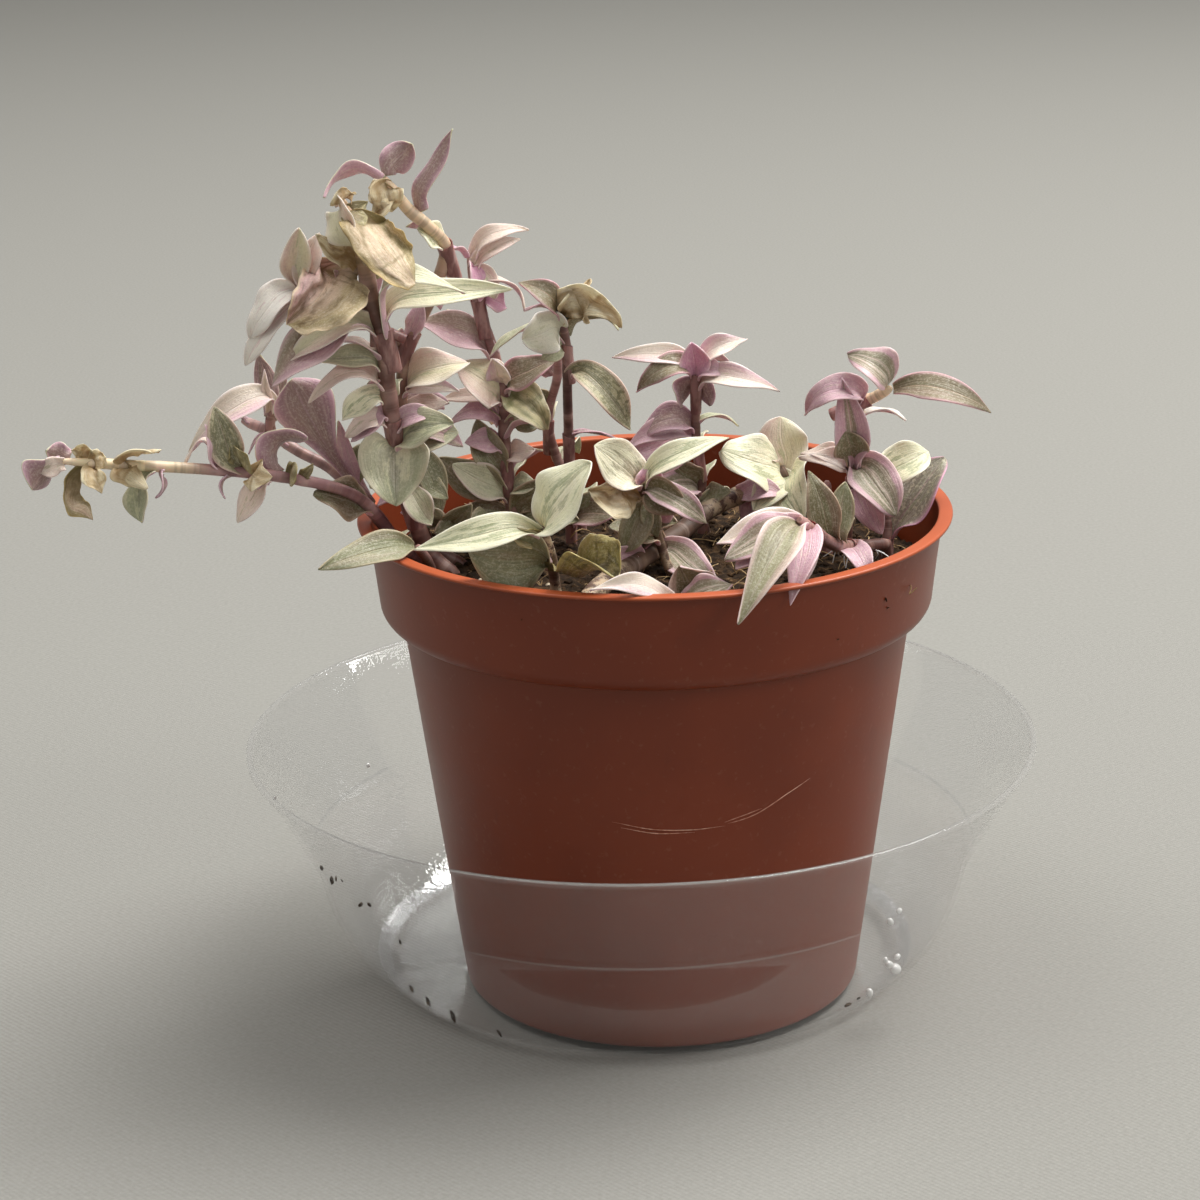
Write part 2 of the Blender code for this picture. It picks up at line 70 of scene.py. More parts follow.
# Each shoot: name, stem radius, bark, route.
STEMS = (
    ("trailing", 1.15, "trailing",
     ((-44, -6, 91), (-51, -8, 97), (-56, -10, 105), (-62, -12, 110), (-75, -15, 114),
      (-89, -18, 116.5), (-103, -22, 118.7), (-114, -25, 120.5))),
    ("rising", 1.2, "rosy",
     ((-43, -3, 91), (-51, -4, 96), (-57, -6, 104), (-64, -5, 112), (-71, -4, 116),
      (-77, -3, 120), (-82, -2, 122))),
    ("spur", 0.8, "purple", ((-76, -3.5, 120.5), (-76, -3.5, 123), (-74, -3, 127))),
    ("main", 1.7, "tan_tip",
     ((-41, -9, 91), (-46, -9, 97), (-50, -10, 112), (-51, -11, 121), (-52, -12, 131),
      (-52, -13, 140), (-54, -14, 148), (-55, -15, 155), (-56, -15, 161), (-59, -15, 168))),
    ("side", 0.9, "purple", ((-54, -13, 143), (-60, -13, 146), (-68.5, -12, 151))),
    ("leaning", 1.3, "tan_top",
     ((-39, -3, 91), (-46, -4, 97), (-49, -4, 111), (-50, -4, 125), (-48, -4, 137),
      (-43, -4, 147), (-40, -5, 156), (-43, -7, 161), (-47, -8, 165), (-51, -9, 171))),
    ("magenta", 1.2, "purple",
     ((-27, 4, 91), (-29, 4, 101), (-30, 5, 115), (-30, 6, 125), (-32, 6, 134), (-34, 6, 141),
      (-36, 8, 152))),
    ("creeper", 1.1, "purple", ((-28, 3, 95), (-36, 0, 98.5), (-45, -3, 100))),
    ("rim_low", 1.0, "purple", ((10, -34, 93), (6, -42, 94), (2, -50, 97))),
    ("dark", 1.0, "dark",
     ((-17, 10, 91), (-17, 8, 101), (-17, 4, 114), (-17, 2, 126), (-17, 1, 135), (-18, 0, 141))),
    ("back", 1.0, "purple",
     ((-15, 19, 91), (-16, 18, 100), (-19, 17, 106), (-21, 16, 113), (-21, 14, 119),
      (-19, 10, 127), (-19, 7, 136))),
    ("rosette", 1.0, "dark",
     ((11, 15, 91), (10, 14, 96), (10, 13, 105), (9, 12, 113), (9, 10, 123), (9, 9, 131))),
    ("woody", 2.0, "woody",
     ((-16, -42, 91.5), (-12, -34, 95), (-4, -16, 95), (5, 0, 96), (11.5, 8, 98.5),
      (20, 16, 100), (28, 18, 103))),
    ("lying", 1.3, "purple",
     ((46, -8, 95), (40, -14, 96.5), (35, -22, 99.3), (29.5, -32, 105.3), (26.4, -40, 110))),
    ("right", 1.2, "tan_top",
     ((39, 2, 91), (39, 0, 97), (40, -2, 108), (40, -4, 117), (41, -5, 123), (44, -6, 125),
      (47, -7, 127))),
    ("right_back", 1.0, "purple", ((35, 0, 91), (35, 1, 100), (35, 1, 106))),
    ("right_rim", 1.0, "purple", ((47, -3, 92), (47, -1, 98), (46, 0, 106))),
    ("front", 1.0, "woody", ((-19, -41, 91), (-20, -42, 101), (-20.5, -44, 106), (-22, -46, 111))),
    ("centre", 0.9, "woody", ((3, -14, 91), (1, -13, 97), (-1, -16, 105), (-3, -20, 112))),
    ("left_low", 1.0, "purple", ((-45, -11, 93), (-45.5, -17, 97), (-46.5, -26, 102))),
)

# The solid shoot that a modelled stem stands for, where it isn't one of its own.
STEM_NODES = {"spur": "rising", "side": "main", "right_back": "right", "right_rim": "lying",
              "left_low": "trailing", "creeper": "magenta", "rim_low": "woody"}

# Leaves of each shoot.  A row is: name (blank for a small one), share of the stem's length, offset
# of the tip, arch of the middle, width, facing of the upper side, outline, finish of the side that
# shows from the front, and any extra shaping.
LEAVES = {
    "trailing": (
        ("tip_plum", 1.0, (-6, -2, -5), 0.5, 9, "BU", "spoon", "plum"),
        ("", 0.985, (-4.5, 1, 2), 0.5, 5, "B", "oval", "plum"),
        ("", 0.99, (-5.5, -1, -1.5), 0.5, 4, "F", "oval", "blush"),
        ("paper_curl", 0.935, (0.5, -3, -10), 3.5, 3.2, "L", "oval", "paper"),
        ("", 0.935, (-3.5, 0, 2.5), 0.5, 5.5, "F", "oval", "husk"),
        ("", 0.93, (2.5, 0, 2), 0.5, 4.5, "F", "oval", "husk"),
        ("", 0.925, (1.5, -3, -5), 0.5, 3.5, "F", "oval", "husk"),
        ("", 0.86, (6, 1, 1.5), 2, 5, "UF", "oval", "husk"),
        ("", 0.86, (4.5, -2, -3), 0.5, 4, "F", "oval", "husk"),
        ("hanging_sage", 0.79, (-2.5, -3, -10.5), 0.5, 7, "FL", "spoon", "sage"),
        ("", 0.775, (-0.5, -3, -5.5), 1, 3, "R", "oval", "plum"),
        ("upright_sage", 0.58, (-4.5, 1, 13), 1, 7, "F", "oval", "mottled_sage", {"twist": 8}),
        ("", 0.63, (-7, 0, 1), 5, 3, "U", "oval", "blush"),
        ("", 0.64, (-1.5, 1, 9), 1, 3, "RF", "lance", "mauve"),
        ("", 0.56, (5, -3, 0.5), 0.5, 4.5, "F", "oval", "husk"),
        ("", 0.57, (-1.5, -3, 6), 0.5, 4, "F", "oval", "gold"),
        ("", 0.60, (-1.5, -2, -5), 1, 2, "L", "oval", "plum"),
        ("", 0.515, (-6, -4, -8.5), 0.5, 5, "FU", "oval", "blush"),
        ("arched_plum", 0.49, (6, 1, 7), 4, 8, "LUB", "oval", "plum"),
        ("", 0.46, (1.5, -1, 3), 0.5, 3.5, "F", "oval", "gold"),
        ("", 0.43, (2.5, 0, 3.5), 0.5, 2, "F", "lance", "gold"),
        ("shoulder_olive", 0.24, (-11, -3, 4.5), 0.5, 9.5, "FU", "oval", "olive"),
        ("", 0.52, (-3, -2, -1), 0.5, 3, "F", "oval", "plum"),
    ),
    "rising": (
        ("broad_plum", 0.42, (-13, -3, 26.5), -1, 13, "B", "paddle", "plum",
         {"twist": 8, "cup": 0.5, "fold": 0.08}),
        ("", 0.44, (-3.5, -2, 17), 0.5, 4, "B", "lance", "mauve"),
        ("", 0.8, (-7.5, -3, -1), 2.5, 3, "U", "lance", "plum"),
        ("", 0.5, (4.5, 3, 9), 0.5, 6, "F", "oval", "slate"),
        ("", 0.97, (-4, -1, 1), 1, 3, "U", "lance", "plum"),
        ("", 0.5, (-2, 10, -4), 2, 5.5, "UB", "oval", "mauve"),
        ("", 0.2, (-3, 11, -2), 1, 6, "UB", "oval", "slate"),
    ),
    "spur": (
        ("", 0.4, (-2, 1, 13), 0.5, 5, "B", "lance", "striped_plum"),
        ("", 0.3, (3.5, 2, 12), 0.5, 4, "B", "lance", "striped_plum"),
        ("", 0.5, (-1, -1, 9), 0.5, 2, "F", "lance", "blush"),
        ("long_blush", 1.0, (-18.5, -3, -10), 4, 6.5, "UF", "lance", "pink_blush"),
    ),
    "main": (
        ("long_cream", 0.68, (-18.5, -4, -6.5), 3.5, 6, "UF", "lance", "pink_cream"),
        ("", 0.58, (-13.5, 0, 1), 1, 5, "UF", "lance", "sage"),
        ("", 0.59, (-17, -1, 2), 2, 4, "U", "lance", "blush"),
        ("", 0.53, (-15, -4, -2.5), 4, 5.5, "UUF", "lance", "blush"),
        ("", 0.53, (-5, 3, -3.5), 0.5, 4, "U", "oval", "slate"),
        ("", 0.50, (-9, -3, -4), 1, 6, "UF", "oval", "cream"),
        ("", 0.44, (-9, -2, -3), 1.5, 5, "UF", "oval", "blush"),
        ("", 0.42, (8, -1, 3), 1.5, 5, "UF", "oval", "mauve"),
        ("", 0.375, (11.5, -6, 5.5), 1, 9, "FU", "oval", "sage", {"twist": 0, "cup": 0.3}),
        ("", 0.3, (-6, -4, -2), 1, 5.5, "FU", "oval", "slate"),
        ("", 0.25, (5, -4, -6), 1, 6, "FU", "oval", "pale_sage"),
        ("", 0.46, (-8, -2, -5.5), 0.5, 4.5, "UF", "oval", "mauve"),
        ("", 0.69, (-2.5, 1, 7.5), 0.5, 6.5, "BL", "oval", "plum"),
        ("", 0.71, (-8, 1, 8.5), 0.5, 4, "B", "oval", "plum"),
        ("dried_large", 0.96, (12, -5, -11.5), 2, 8.5, "F", "spoon", "paper",
         {"twist": -6, "crumple": 0.9}),
        ("dried_left", 0.83, (-14.5, -5, -9), 1, 11, "F", "oval", "withered",
         {"twist": 0, "crumple": 1.3}),
        ("", 0.84, (-8.5, -1, 5.5), 0.5, 4, "F", "oval", "husk"),
        ("", 1.0, (2.8, -4, -8.5), 1.5, 9, "FL", "oval", "pink_cream", {"twist": 0}),
        ("", 0.99, (1, -1, 3), 0.5, 4.5, "F", "oval", "husk"),
        ("", 0.97, (4, -1, -1), 0.5, 4.5, "F", "oval", "gold"),
        ("", 0.66, (16.4, -5, 8.5), 9, 6.5, "UUF", "lance", "cream", {"twist": 0, "hook": 0.02}),
        ("wide_cream", 0.71, (26.5, 0, 4.5), 1, 6.5, "FU", "lance", "cream"),
        ("heart_sage", 0.375, (0, -8, -10.5), 1, 13.5, "FU", "heart", "sage",
         {"twist": 0, "cup": 0.3, "clasp": 0.5}),
        ("", 0.3, (3, 12, 1), 1, 6.5, "UB", "oval", "sage"),
        ("", 0.5, (-4, 13, -2), 2, 6.5, "UB", "oval", "blush"),
        ("", 0.62, (2, 11, -4), 2, 6, "UB", "oval", "plum"),
        ("", 0.8, (1, 9, -5), 2, 5, "UB", "oval", "mauve"),
    ),
    "side": (
        ("", 1.0, (1, -1, 11.5), 0.5, 6, "F", "oval", "pink_cream", {"twist": 0}),
        ("", 0.95, (4, 1, 10.5), 0.5, 5, "F", "oval", "blush"),
        ("", 0.97, (-9.8, -3, -9), 1.5, 7.5, "FUU", "oval", "white", {"twist": -12}),
        ("", 0.75, (-14, -3, -12.5), 2, 7, "FUU", "oval", "white", {"twist": -12}),
        ("", 0.08, (-18.5, -7, -10.5), 1.5, 9.5, "FU", "oval", "olive_mauve", {"twist": 0}),
    ),
    "leaning": (
        ("arched_top", 1.0, (-11.5, -3, -3), 3.5, 4, "UB", "lance", "mauve"),
        ("", 1.0, (5.7, 0, 6.5), 0.5, 6.5, "B", "oval", "plum"),
        ("", 0.99, (1, -2, -5.5), 0.5, 6.5, "F", "oval", "husk", {"crumple": 0.7}),
        ("", 0.97, (-5, -1, -1), 0.5, 5.5, "F", "oval", "husk", {"crumple": 0.7}),
        ("", 0.97, (-4, -2, -5), 0.5, 4, "F", "oval", "husk"),
        ("upright_plum", 0.90, (8.4, 1, 16), -1, 4.5, "BR", "lance", "plum"),
        ("", 0.83, (-6, 1, 1.5), 1, 3.5, "UB", "lance", "mauve"),
        ("", 0.80, (-5, -2, 3.5), 0.5, 6, "FU", "oval", "cream"),
        ("", 0.58, (2, -1, 7), 0.5, 4, "F", "oval", "mauve"),
        ("broad_blush", 0.46, (13.5, -2, 5), 2.5, 8, "FU", "oval", "pink_cream"),
        ("", 0.45, (11.5, -3, 0.5), 2, 5, "UF", "lance", "pink_blush"),
        ("", 0.40, (9.5, -4, 3), 1, 5, "UF", "oval", "blush"),
        ("", 0.35, (12, -2, -2), 2, 5.5, "UF", "oval", "olive_mauve"),
        ("", 0.24, (7.5, -5, -2), 1, 6, "FU", "oval", "slate"),
        ("", 0.43, (9.5, 1, -1), 0.5, 4, "B", "oval", "plum"),
        ("round_sage", 0.33, (11, -3, 3), 0.5, 10, "FU", "oval", "sage",
         {"twist": 0, "cup": 0.3}),
        ("", 0.36, (8.5, -1, 5), 0.5, 5, "U", "oval", "blush"),
        ("", 0.21, (5, -4, 1), 0.5, 5, "U", "oval", "sage"),
        ("", 0.19, (-7, -7, 2), 0.5, 5, "U", "oval", "mauve"),
        ("", 0.31, (6, -2, -13), 3, 6.5, "RF", "oval", "slate"),
        ("", 0.3, (-2, 12, 1), 1, 6.5, "UB", "oval", "slate"),
        ("", 0.5, (1, 12, -3), 2, 6.5, "UB", "oval", "mauve"),
        ("", 0.68, (1, 9, -5), 2, 5, "UB", "oval", "mauve"),
    ),
    "magenta": (
        ("", 0.9, (10, 1, -5), 2.5, 4.5, "U", "lance", "blush"),
        ("", 0.86, (5.5, 2, -2), 0.5, 5.5, "UF", "oval", "magenta"),
        ("", 0.97, (10, 2, 5), 2, 4, "UF", "lance", "blush"),
        ("top_blush", 1.0, (12, 3, 4.5), 3, 4, "UF", "lance", "blush"),
        ("", 1.0, (-5, -1, 0), 1.5, 4, "U", "oval", "magenta"),
        ("", 0.97, (1.5, -3, -6.5), 1, 6, "FR", "oval", "magenta", {"twist": 0}),
        ("", 0.95, (4.5, -2, -5), 1, 5, "UF", "oval", "pink_cream"),
        ("", 0.68, (-16, -1, 7), 1.5, 8, "FU", "lance", "olive_mauve", {"twist": 0}),
        ("", 0.70, (-9, 2, 7.5), 0.5, 5, "B", "oval", "mauve"),
        ("white_blush", 0.52, (-9, -4, 8.5), 1, 10.5, "FU", "oval", "pink_cream",
         {"twist": 0, "cup": 0.4}),
        ("", 0.50, (-13.5, 1, 1), 1.5, 4, "UF", "lance", "blush"),
        ("", 0.45, (-11, 1, -0.5), 3.5, 5, "UF", "lance", "mauve"),
        ("", 0.46, (-7, 3, 3), 0.5, 5, "U", "oval", "slate"),
        ("low_sage", 0.2, (-11.5, -3, 8), 0.5, 7.5, "FU", "oval", "pale_sage"),
        ("", 0.33, (6, -2, 2), 1, 5, "FU", "oval", "blush"),
        ("", 0.22, (6, -3, 2), 1, 5.5, "FU", "oval", "sage"),
        ("", 0.45, (8, 2, 0), 1, 5, "F", "oval", "slate"),
        ("", 0.36, (-8, -2, 2), 1, 5.5, "FU", "oval", "mauve"),
        ("", 0.28, (-6, 1, 11), 0.5, 7, "F", "oval", "slate"),
        ("", 0.22, (-14, 1, 7), 0.5, 8, "F", "oval", "slate", {"twist": 0}),
        ("", 0.12, (-10.5, -2, 3.5), 0.5, 6, "FU", "oval", "olive"),
        ("", 0.12, (3.5, -3, -1), 0.5, 5, "FU", "oval", "olive"),
        ("", 0.1, (13, -7, 3), 1, 8, "FU", "oval", "slate"),
        ("", 0.16, (9, -4, 8), 1, 6.5, "F", "oval", "olive"),
        ("", 0.08, (-4, -12, 1), 1, 8, "FU", "oval", "olive"),
        ("", 0.56, (10.5, -2, 6), 1.5, 7.5, "FU", "oval", "olive_pink", {"twist": 0}),
        ("", 0.58, (-1.5, -3, 5.5), 1, 5, "F", "oval", "pink_blush"),
        ("", 0.60, (-1.5, -1, 4), 0.5, 3, "F", "oval", "blush"),
        ("", 0.54, (8, -3, -6.5), 2, 8.5, "FU", "oval", "gilded", {"crumple": 0.35, "twist": 0}),
        ("", 0.40, (8.7, -2, 2.5), 1.5, 5, "U", "oval", "white"),
        ("", 0.3, (7.5, -2, 4), 0.5, 4, "UB", "oval", "mauve"),
        ("", 0.25, (2, 13, 0), 1, 7, "UB", "oval", "sage"),
        ("", 0.42, (-3, 13, -2), 2, 6.5, "UB", "oval", "blush"),
        ("", 0.6, (2, 11, -4), 2, 6, "UB", "oval", "mauve"),
        ("", 0.08, (-6, 14, 1), 1, 7.5, "UB", "oval", "olive"),
    ),
    "dark": (
        ("left_blush", 1.0, (-8, -1, 7.5), 3.5, 5.5, "UF", "oval", "olive_pink"),
        ("right_dried", 1.0, (7, -3, 3.5), 2, 4.5, "FU", "oval", "husk",
         {"crumple": 0.6, "twist": 0}),
        ("", 1.0, (9.6, -1, -2), 6.5, 4.2, "UF", "oval", "husk", {"crumple": 0.8}),
        ("", 1.0, (6.5, 0, 8), 1, 3.2, "F", "oval", "husk"),
        ("", 1.0, (5.5, -1, 5.5), 0.5, 4, "F", "oval", "cream"),
        ("", 0.97, (-7.5, 0, 3), 2, 4, "U", "lance", "plum"),
        ("", 0.96, (-8, -4, -1.5), 0.5, 8.5, "F", "round", "mint", {"twist": 0, "cup": 0.1}),
        ("", 0.93, (11, -1, 1), 3, 4, "UB", "lance", "olive"),
        ("long_sage", 0.9, (-15, -3, -2), 3, 4.5, "U", "lance", "sage"),
        ("", 0.88, (-5, -2, -2), 0.5, 4, "F", "oval", "sage"),
        ("drooping_sage", 0.78, (12.5, -4, -11.5), 4, 7.2, "FU", "oval", "mottled_sage",
         {"twist": 0}),
        ("", 0.5, (10, 1, -1), 0.5, 2.5, "U", "lance", "plum"),
        ("", 0.15, (5.5, -2, 5), 0.5, 5, "F", "oval", "slate"),
        ("", 0.1, (9, -6, 3), 1, 7, "FU", "oval", "olive_pink"),
        ("", 0.2, (-7, -5, 3), 1, 6.5, "FU", "oval", "olive"),
    ),
    "back": (
        ("", 0.65, (-4, -1, 3), 0.5, 4, "F", "oval", "slate"),
        ("", 0.8, (-4, 0, 2.5), 0.5, 4, "B", "oval", "plum"),
        ("", 0.35, (4, 12, -1), 1, 6, "UB", "oval", "sage"),
        ("", 0.55, (-2, 12, -4), 2, 6, "UB", "oval", "plum"),
        ("", 0.1, (1, 13, 1), 1, 7, "UB", "oval", "olive"),
    ),
    "rosette": (
        ("left_blush", 0.92, (-17, -1, 3), 2, 5, "UF", "lance", "pink_blush"),
        ("", 0.9, (-12, -3, -3), 4, 6, "UF", "lance", "olive_pink"),
        ("", 0.9, (-1, -3, 7), 0.5, 6.5, "F", "oval", "magenta", {"twist": 0}),
        ("", 0.93, (10.5, 2, 5), 2.5, 5, "UF", "lance", "pink_blush"),
        ("", 0.88, (6.5, -2, 0.5), 2, 4.5, "UF", "lance", "mauve"),
        ("", 0.92, (7, 4, 0.5), 1.5, 4, "UB", "oval", "mauve"),
        ("right_cream", 0.84, (16.8, -3, -1), 3, 5.5, "UF", "lance", "pink_blush"),
        ("", 0.86, (-3, -2, -5), 1.5, 5, "UB", "oval", "plum"),
        ("", 0.85, (3, 0, -5), 0.5, 4, "UB", "oval", "plum"),
        ("low_plum", 0.6, (-11.5, -2, -1), 3.5, 7, "UF", "oval", "plum"),
        ("", 0.54, (-15.5, -3, -2), 3.5, 5.5, "UF", "lance", "mauve"),
        ("", 0.48, (-19, -4, -3), 2, 5, "UF", "lance", "mauve"),
        ("", 0.5, (-10, -5, -6), 2, 6.5, "FU", "oval", "olive_pink"),
        ("", 0.62, (9, 2, -1), 1, 3, "U", "lance", "sage"),
        ("", 0.35, (-8, -3, 2), 0.5, 3.5, "UB", "lance", "mauve"),
        ("", 0.3, (-6, -3, 5), 0.5, 6.5, "F", "oval", "olive"),
        ("", 0.25, (-11, -6, 2), 1.5, 7, "FU", "oval", "twin_olive"),
        ("", 0.2, (6, -5, 3), 1, 5, "FU", "oval", "slate"),
        ("", 0.15, (3, -2, 5.5), 0.5, 4, "F", "oval", "sage"),
        ("", 0.3, (1, 12, -1), 1, 6.5, "UB", "oval", "sage"),
        ("", 0.5, (-2, 12, -4), 2, 6, "UB", "oval", "plum"),
        ("", 0.12, (6, 13, 0), 1, 7, "UB", "oval", "slate"),
    ),
    "woody": (
        ("oval_cream", 1.0, (-14, -8, 7.5), 0.5, 12.5, "FU", "round", "cream",
         {"twist": 0, "cup": 0.2, "clasp": 0.5, "fold": 0.05}),
        ("wide_cream", 1.0, (2.5, -13, -6.5), 2, 13.5, "FUL", "heart", "cream",
         {"twist": 0, "cup": 0.3, "clasp": 0.5}),
        ("", 1.0, (-7.5, -10, -5), 1, 8, "UF", "oval", "cream", {"twist": 10}),
        ("upright_blush", 1.0, (-1, 3, 11.5), 0.5, 10.5, "F", "round", "pink_cream",
         {"twist": 0, "cup": 0.3}),
        ("", 0.95, (-6, -3, -8), 0.5, 6, "FU", "oval", "mauve"),
        ("", 0.85, (9, -3, 1), 2, 6, "UF", "oval", "mauve"),
        ("", 0.5, (-7, -5, 8), 0.5, 6, "F", "oval", "olive"),
        ("", 0.45, (-4.5, -6, 9.5), 0.5, 7.5, "F", "oval", "olive_pink"),
        ("", 0.38, (-5, -6, 4), 0.5, 5, "F", "oval", "mauve"),
        ("", 0.5, (11, -11, -5), 1, 8, "FU", "oval", "twin_olive"),
    ),
    "lying": (
        ("hanging_front", 0.98, (-13, -23, -12.5), 3.5, 8.2, "FU", "lance", "half_pink",
         {"twist": 0}),
        ("", 0.9, (-17, -8, -1), 1, 8, "FU", "lance", "pink_blush", {"twist": 5}),
        ("", 0.96, (-15, -9, -4.5), 1.5, 8.5, "FU", "oval", "twin_olive", {"twist": 0}),
        ("", 0.95, (-13, -10, -6), 1, 8, "FU", "oval", "mauve", {"twist": 0}),
        ("", 0.85, (-4.5, -20, -9), 3.5, 7, "FU", "lance", "mauve", {"twist": 0}),
        ("", 0.8, (-2, -10, -8), 1, 6, "FU", "oval", "pink_blush"),
        ("", 0.3, (3, -12, -3), 2, 6, "UF", "oval", "mauve"),
        ("", 0.9, (-3, -5, -6), 0.5, 3, "F", "lance", "plum"),
        ("right_olive", 0.5, (-4.5, 3, 14), 1, 6.5, "F", "lance", "olive",
         {"twist": 0, "cup": 0.3}),
        ("", 0.45, (2, 3, 12), 0.5, 6, "F", "oval", "slate"),
    ),
    "right": (
        ("long_olive", 1.0, (19.5, -3, -4.5), 2, 6.5, "FU", "lance", "olive_pink",
         {"twist": 0, "cup": 0.2, "clasp": 0.6}),
        ("upper_olive", 1.0, (-8.5, 1, 6.5), 3.5, 8.5, "FU", "oval", "twin_olive",
         {"twist": 0, "cup": 0.2, "clasp": 0.5}),
        ("", 0.86, (-12, 1, -3), 5.5, 6.5, "UF", "lance", "mauve", {"twist": 0}),
        ("", 0.74, (10, -1, 0), 1, 3.5, "U", "lance", "white"),
        ("folded_mauve", 0.5, (-3, -7, 19), 0.5, 7.5, "F", "lance", "spear",
         {"twist": 0, "cup": 1.2}),
        ("", 0.52, (-2, -5, 7), 0.5, 7.5, "F", "spoon", "olive", {"twist": 0}),
        ("", 0.5, (0, -3, 11), 0.5, 4, "F", "lance", "mauve"),
        ("", 0.48, (8, -7, -8.5), 1.5, 10.5, "FU", "oval", "twin_olive"),
        ("", 0.4, (5.5, -5, -10), 0.5, 6.5, "F", "oval", "mauve"),
        ("", 0.45, (-11, -1, 3.5), 2, 5, "UF", "lance", "blush"),
        ("", 0.45, (-10.5, 2, 3.5), 3, 5, "UF", "lance", "blush"),
        ("", 0.45, (1, 12, -2), 2, 6.5, "UB", "oval", "mauve"),
    ),
    "right_back": (
        ("", 0.45, (-3, -1, 7.5), 0.5, 4, "F", "oval", "cream"),
        ("", 0.5, (3, 10, 0), 1, 5.5, "UB", "oval", "sage"),
        ("", 0.15, (6, 11, 0), 1, 7, "UB", "oval", "olive"),
    ),
    "right_rim": (
        ("", 1.0, (9.5, 2, 5.5), 0.5, 9, "FU", "round", "cream", {"twist": 0}),
        ("rim_olive", 0.2, (12, 6, 15), 0.5, 12, "FLU", "oval", "speckled",
         {"twist": 0, "cup": 0.4, "clasp": 0.6}),
    ),
    "front": (
        ("pale_cream", 0.98, (9.5, -4, 14), 1.5, 13, "FLU", "round", "cream",
         {"twist": 0, "cup": 0.3, "clasp": 0.6, "fold": 0.08}),
        ("", 0.95, (5, 1, 3), 0.5, 3, "U", "oval", "slate"),
        ("long_cream", 0.97, (-24, -3, -2), 1.5, 7, "UF", "lance", "cream", {"twist": -8}),
        ("broad_olive", 0.62, (-15.5, -3, 3), 0.5, 14, "F", "oval", "slate",
         {"twist": 0, "cup": 0.3}),
        ("", 0.9, (-6.5, -2, 1.5), 0.5, 4, "F", "oval", "gold"),
        ("", 0.55, (12, -14, 3), 1, 13, "FUU", "spoon", "moss", {"crumple": 0.6, "twist": 0}),
    ),
    "centre": (
        ("long_cream", 1.0, (17.5, 4, 8), 3.5, 5.5, "UF", "lance", "cream"),
        ("mottled", 0.98, (-9, -3, 9), 0.5, 10, "FU", "round", "mottled",
         {"twist": 0, "cup": 0.3}),
        ("", 0.96, (8.5, -3, -4), 0.5, 7.5, "F", "oval", "olive", {"twist": 0}),
        ("", 0.94, (2.5, -1, 6), 0.5, 5.5, "F", "lance", "magenta", {"twist": 0}),
        ("", 0.75, (-5, -3, -9), 1, 6.5, "F", "oval", "slate", {"twist": 0}),
        ("", 0.6, (3.5, -3, 5), 1, 5, "F", "oval", "mauve"),
        ("", 0.45, (4, -5, 3), 1, 6, "FU", "oval", "olive"),
        ("", 0.9, (-10.5, -6, 2), 0.5, 7.5, "F", "oval", "husk", {"twist": 0}),
        ("", 0.95, (12.5, -3, -6.5), 2, 6, "FU", "oval", "twin_olive"),
        ("", 0.8, (2, -2, -7), 0.5, 4, "F", "oval", "slate"),
        ("", 0.35, (-10, -4, 4), 1, 7, "FU", "oval", "olive"),
    ),
    "creeper": (
        ("", 0.25, (-6, -9, 3), 1, 7, "FU", "oval", "slate"),
        ("", 0.5, (-8, -8, 1), 1, 6.5, "FU", "oval", "olive"),
        ("", 0.75, (4, -7, 6), 1, 5.5, "F", "oval", "slate"),
        ("", 0.95, (-3, -6, 6), 1, 5.5, "F", "oval", "sage"),
        ("", 1.0, (-6, -2, 3), 1, 4.5, "UF", "oval", "mauve"),
    ),
    "rim_low": (
        ("", 0.35, (-3.5, -6, 9.5), 0.5, 11, "F", "oval", "half_pink", {"twist": 0}),
        ("", 1.0, (-15, -10, 6.5), 2.5, 5, "UF", "lance", "pink_blush",
         {"twist": 0, "wave": 0.15}),
        ("", 0.7, (9, -3, 5), 1.5, 7, "FU", "oval", "twin_olive"),
    ),
    "left_low": (
        ("left_rim", 1.0, (-18, -15, 0.5), 1, 7, "UF", "lance", "slate"),
    ),
}

# The solid shoot that a stem's named leaves belong to, where it isn't one of its own.
LEAF_NODES = {"spur": "rising", "right_rim": "lying", "left_low": "trailing"}

# ---------------------------------------------------------------------------------------------
# Small helpers
# ---------------------------------------------------------------------------------------------


def srgb(red, green, blue):
    """A colour as it is seen, 0 to 255, turned into the linear value that a shader takes."""
    def linear(value):
        value /= 255
        return value / 12.92 if value <= 0.04045 else ((value + 0.055) / 1.055) ** 2.4
    return (linear(red), linear(green), linear(blue), 1.0)


def deselect():
    if bpy.context.object and bpy.context.object.mode != "OBJECT":
        bpy.ops.object.mode_set(mode="OBJECT")
    bpy.ops.object.select_all(action="DESELECT")


def activate(obj):
    deselect()
    bpy.context.view_layer.objects.active = obj
    obj.select_set(True)


def apply_modifiers(obj):
    activate(obj)
    for modifier in list(obj.modifiers):
        bpy.ops.object.modifier_apply(modifier=modifier.name)


def edit_all(obj):
    """Opens a mesh for editing, with all of it selected."""
    activate(obj)
    bpy.ops.object.mode_set(mode="EDIT")
    bpy.ops.mesh.select_all(action="SELECT")


def add_object(name, data):
    """A new object in the scene, at the origin."""
    obj = bpy.data.objects.new(name, data)
    bpy.context.scene.collection.objects.link(obj)
    return obj


def add_copy(pattern, name, matrix):
    """A copy of a pattern with its own mesh, moved to its place inside the object."""
    mesh = pattern.data.copy()
    mesh.transform(matrix)
    return add_object(name, mesh)


def remove(*objects):
    for obj in objects:
        bpy.data.objects.remove(obj, do_unlink=True)


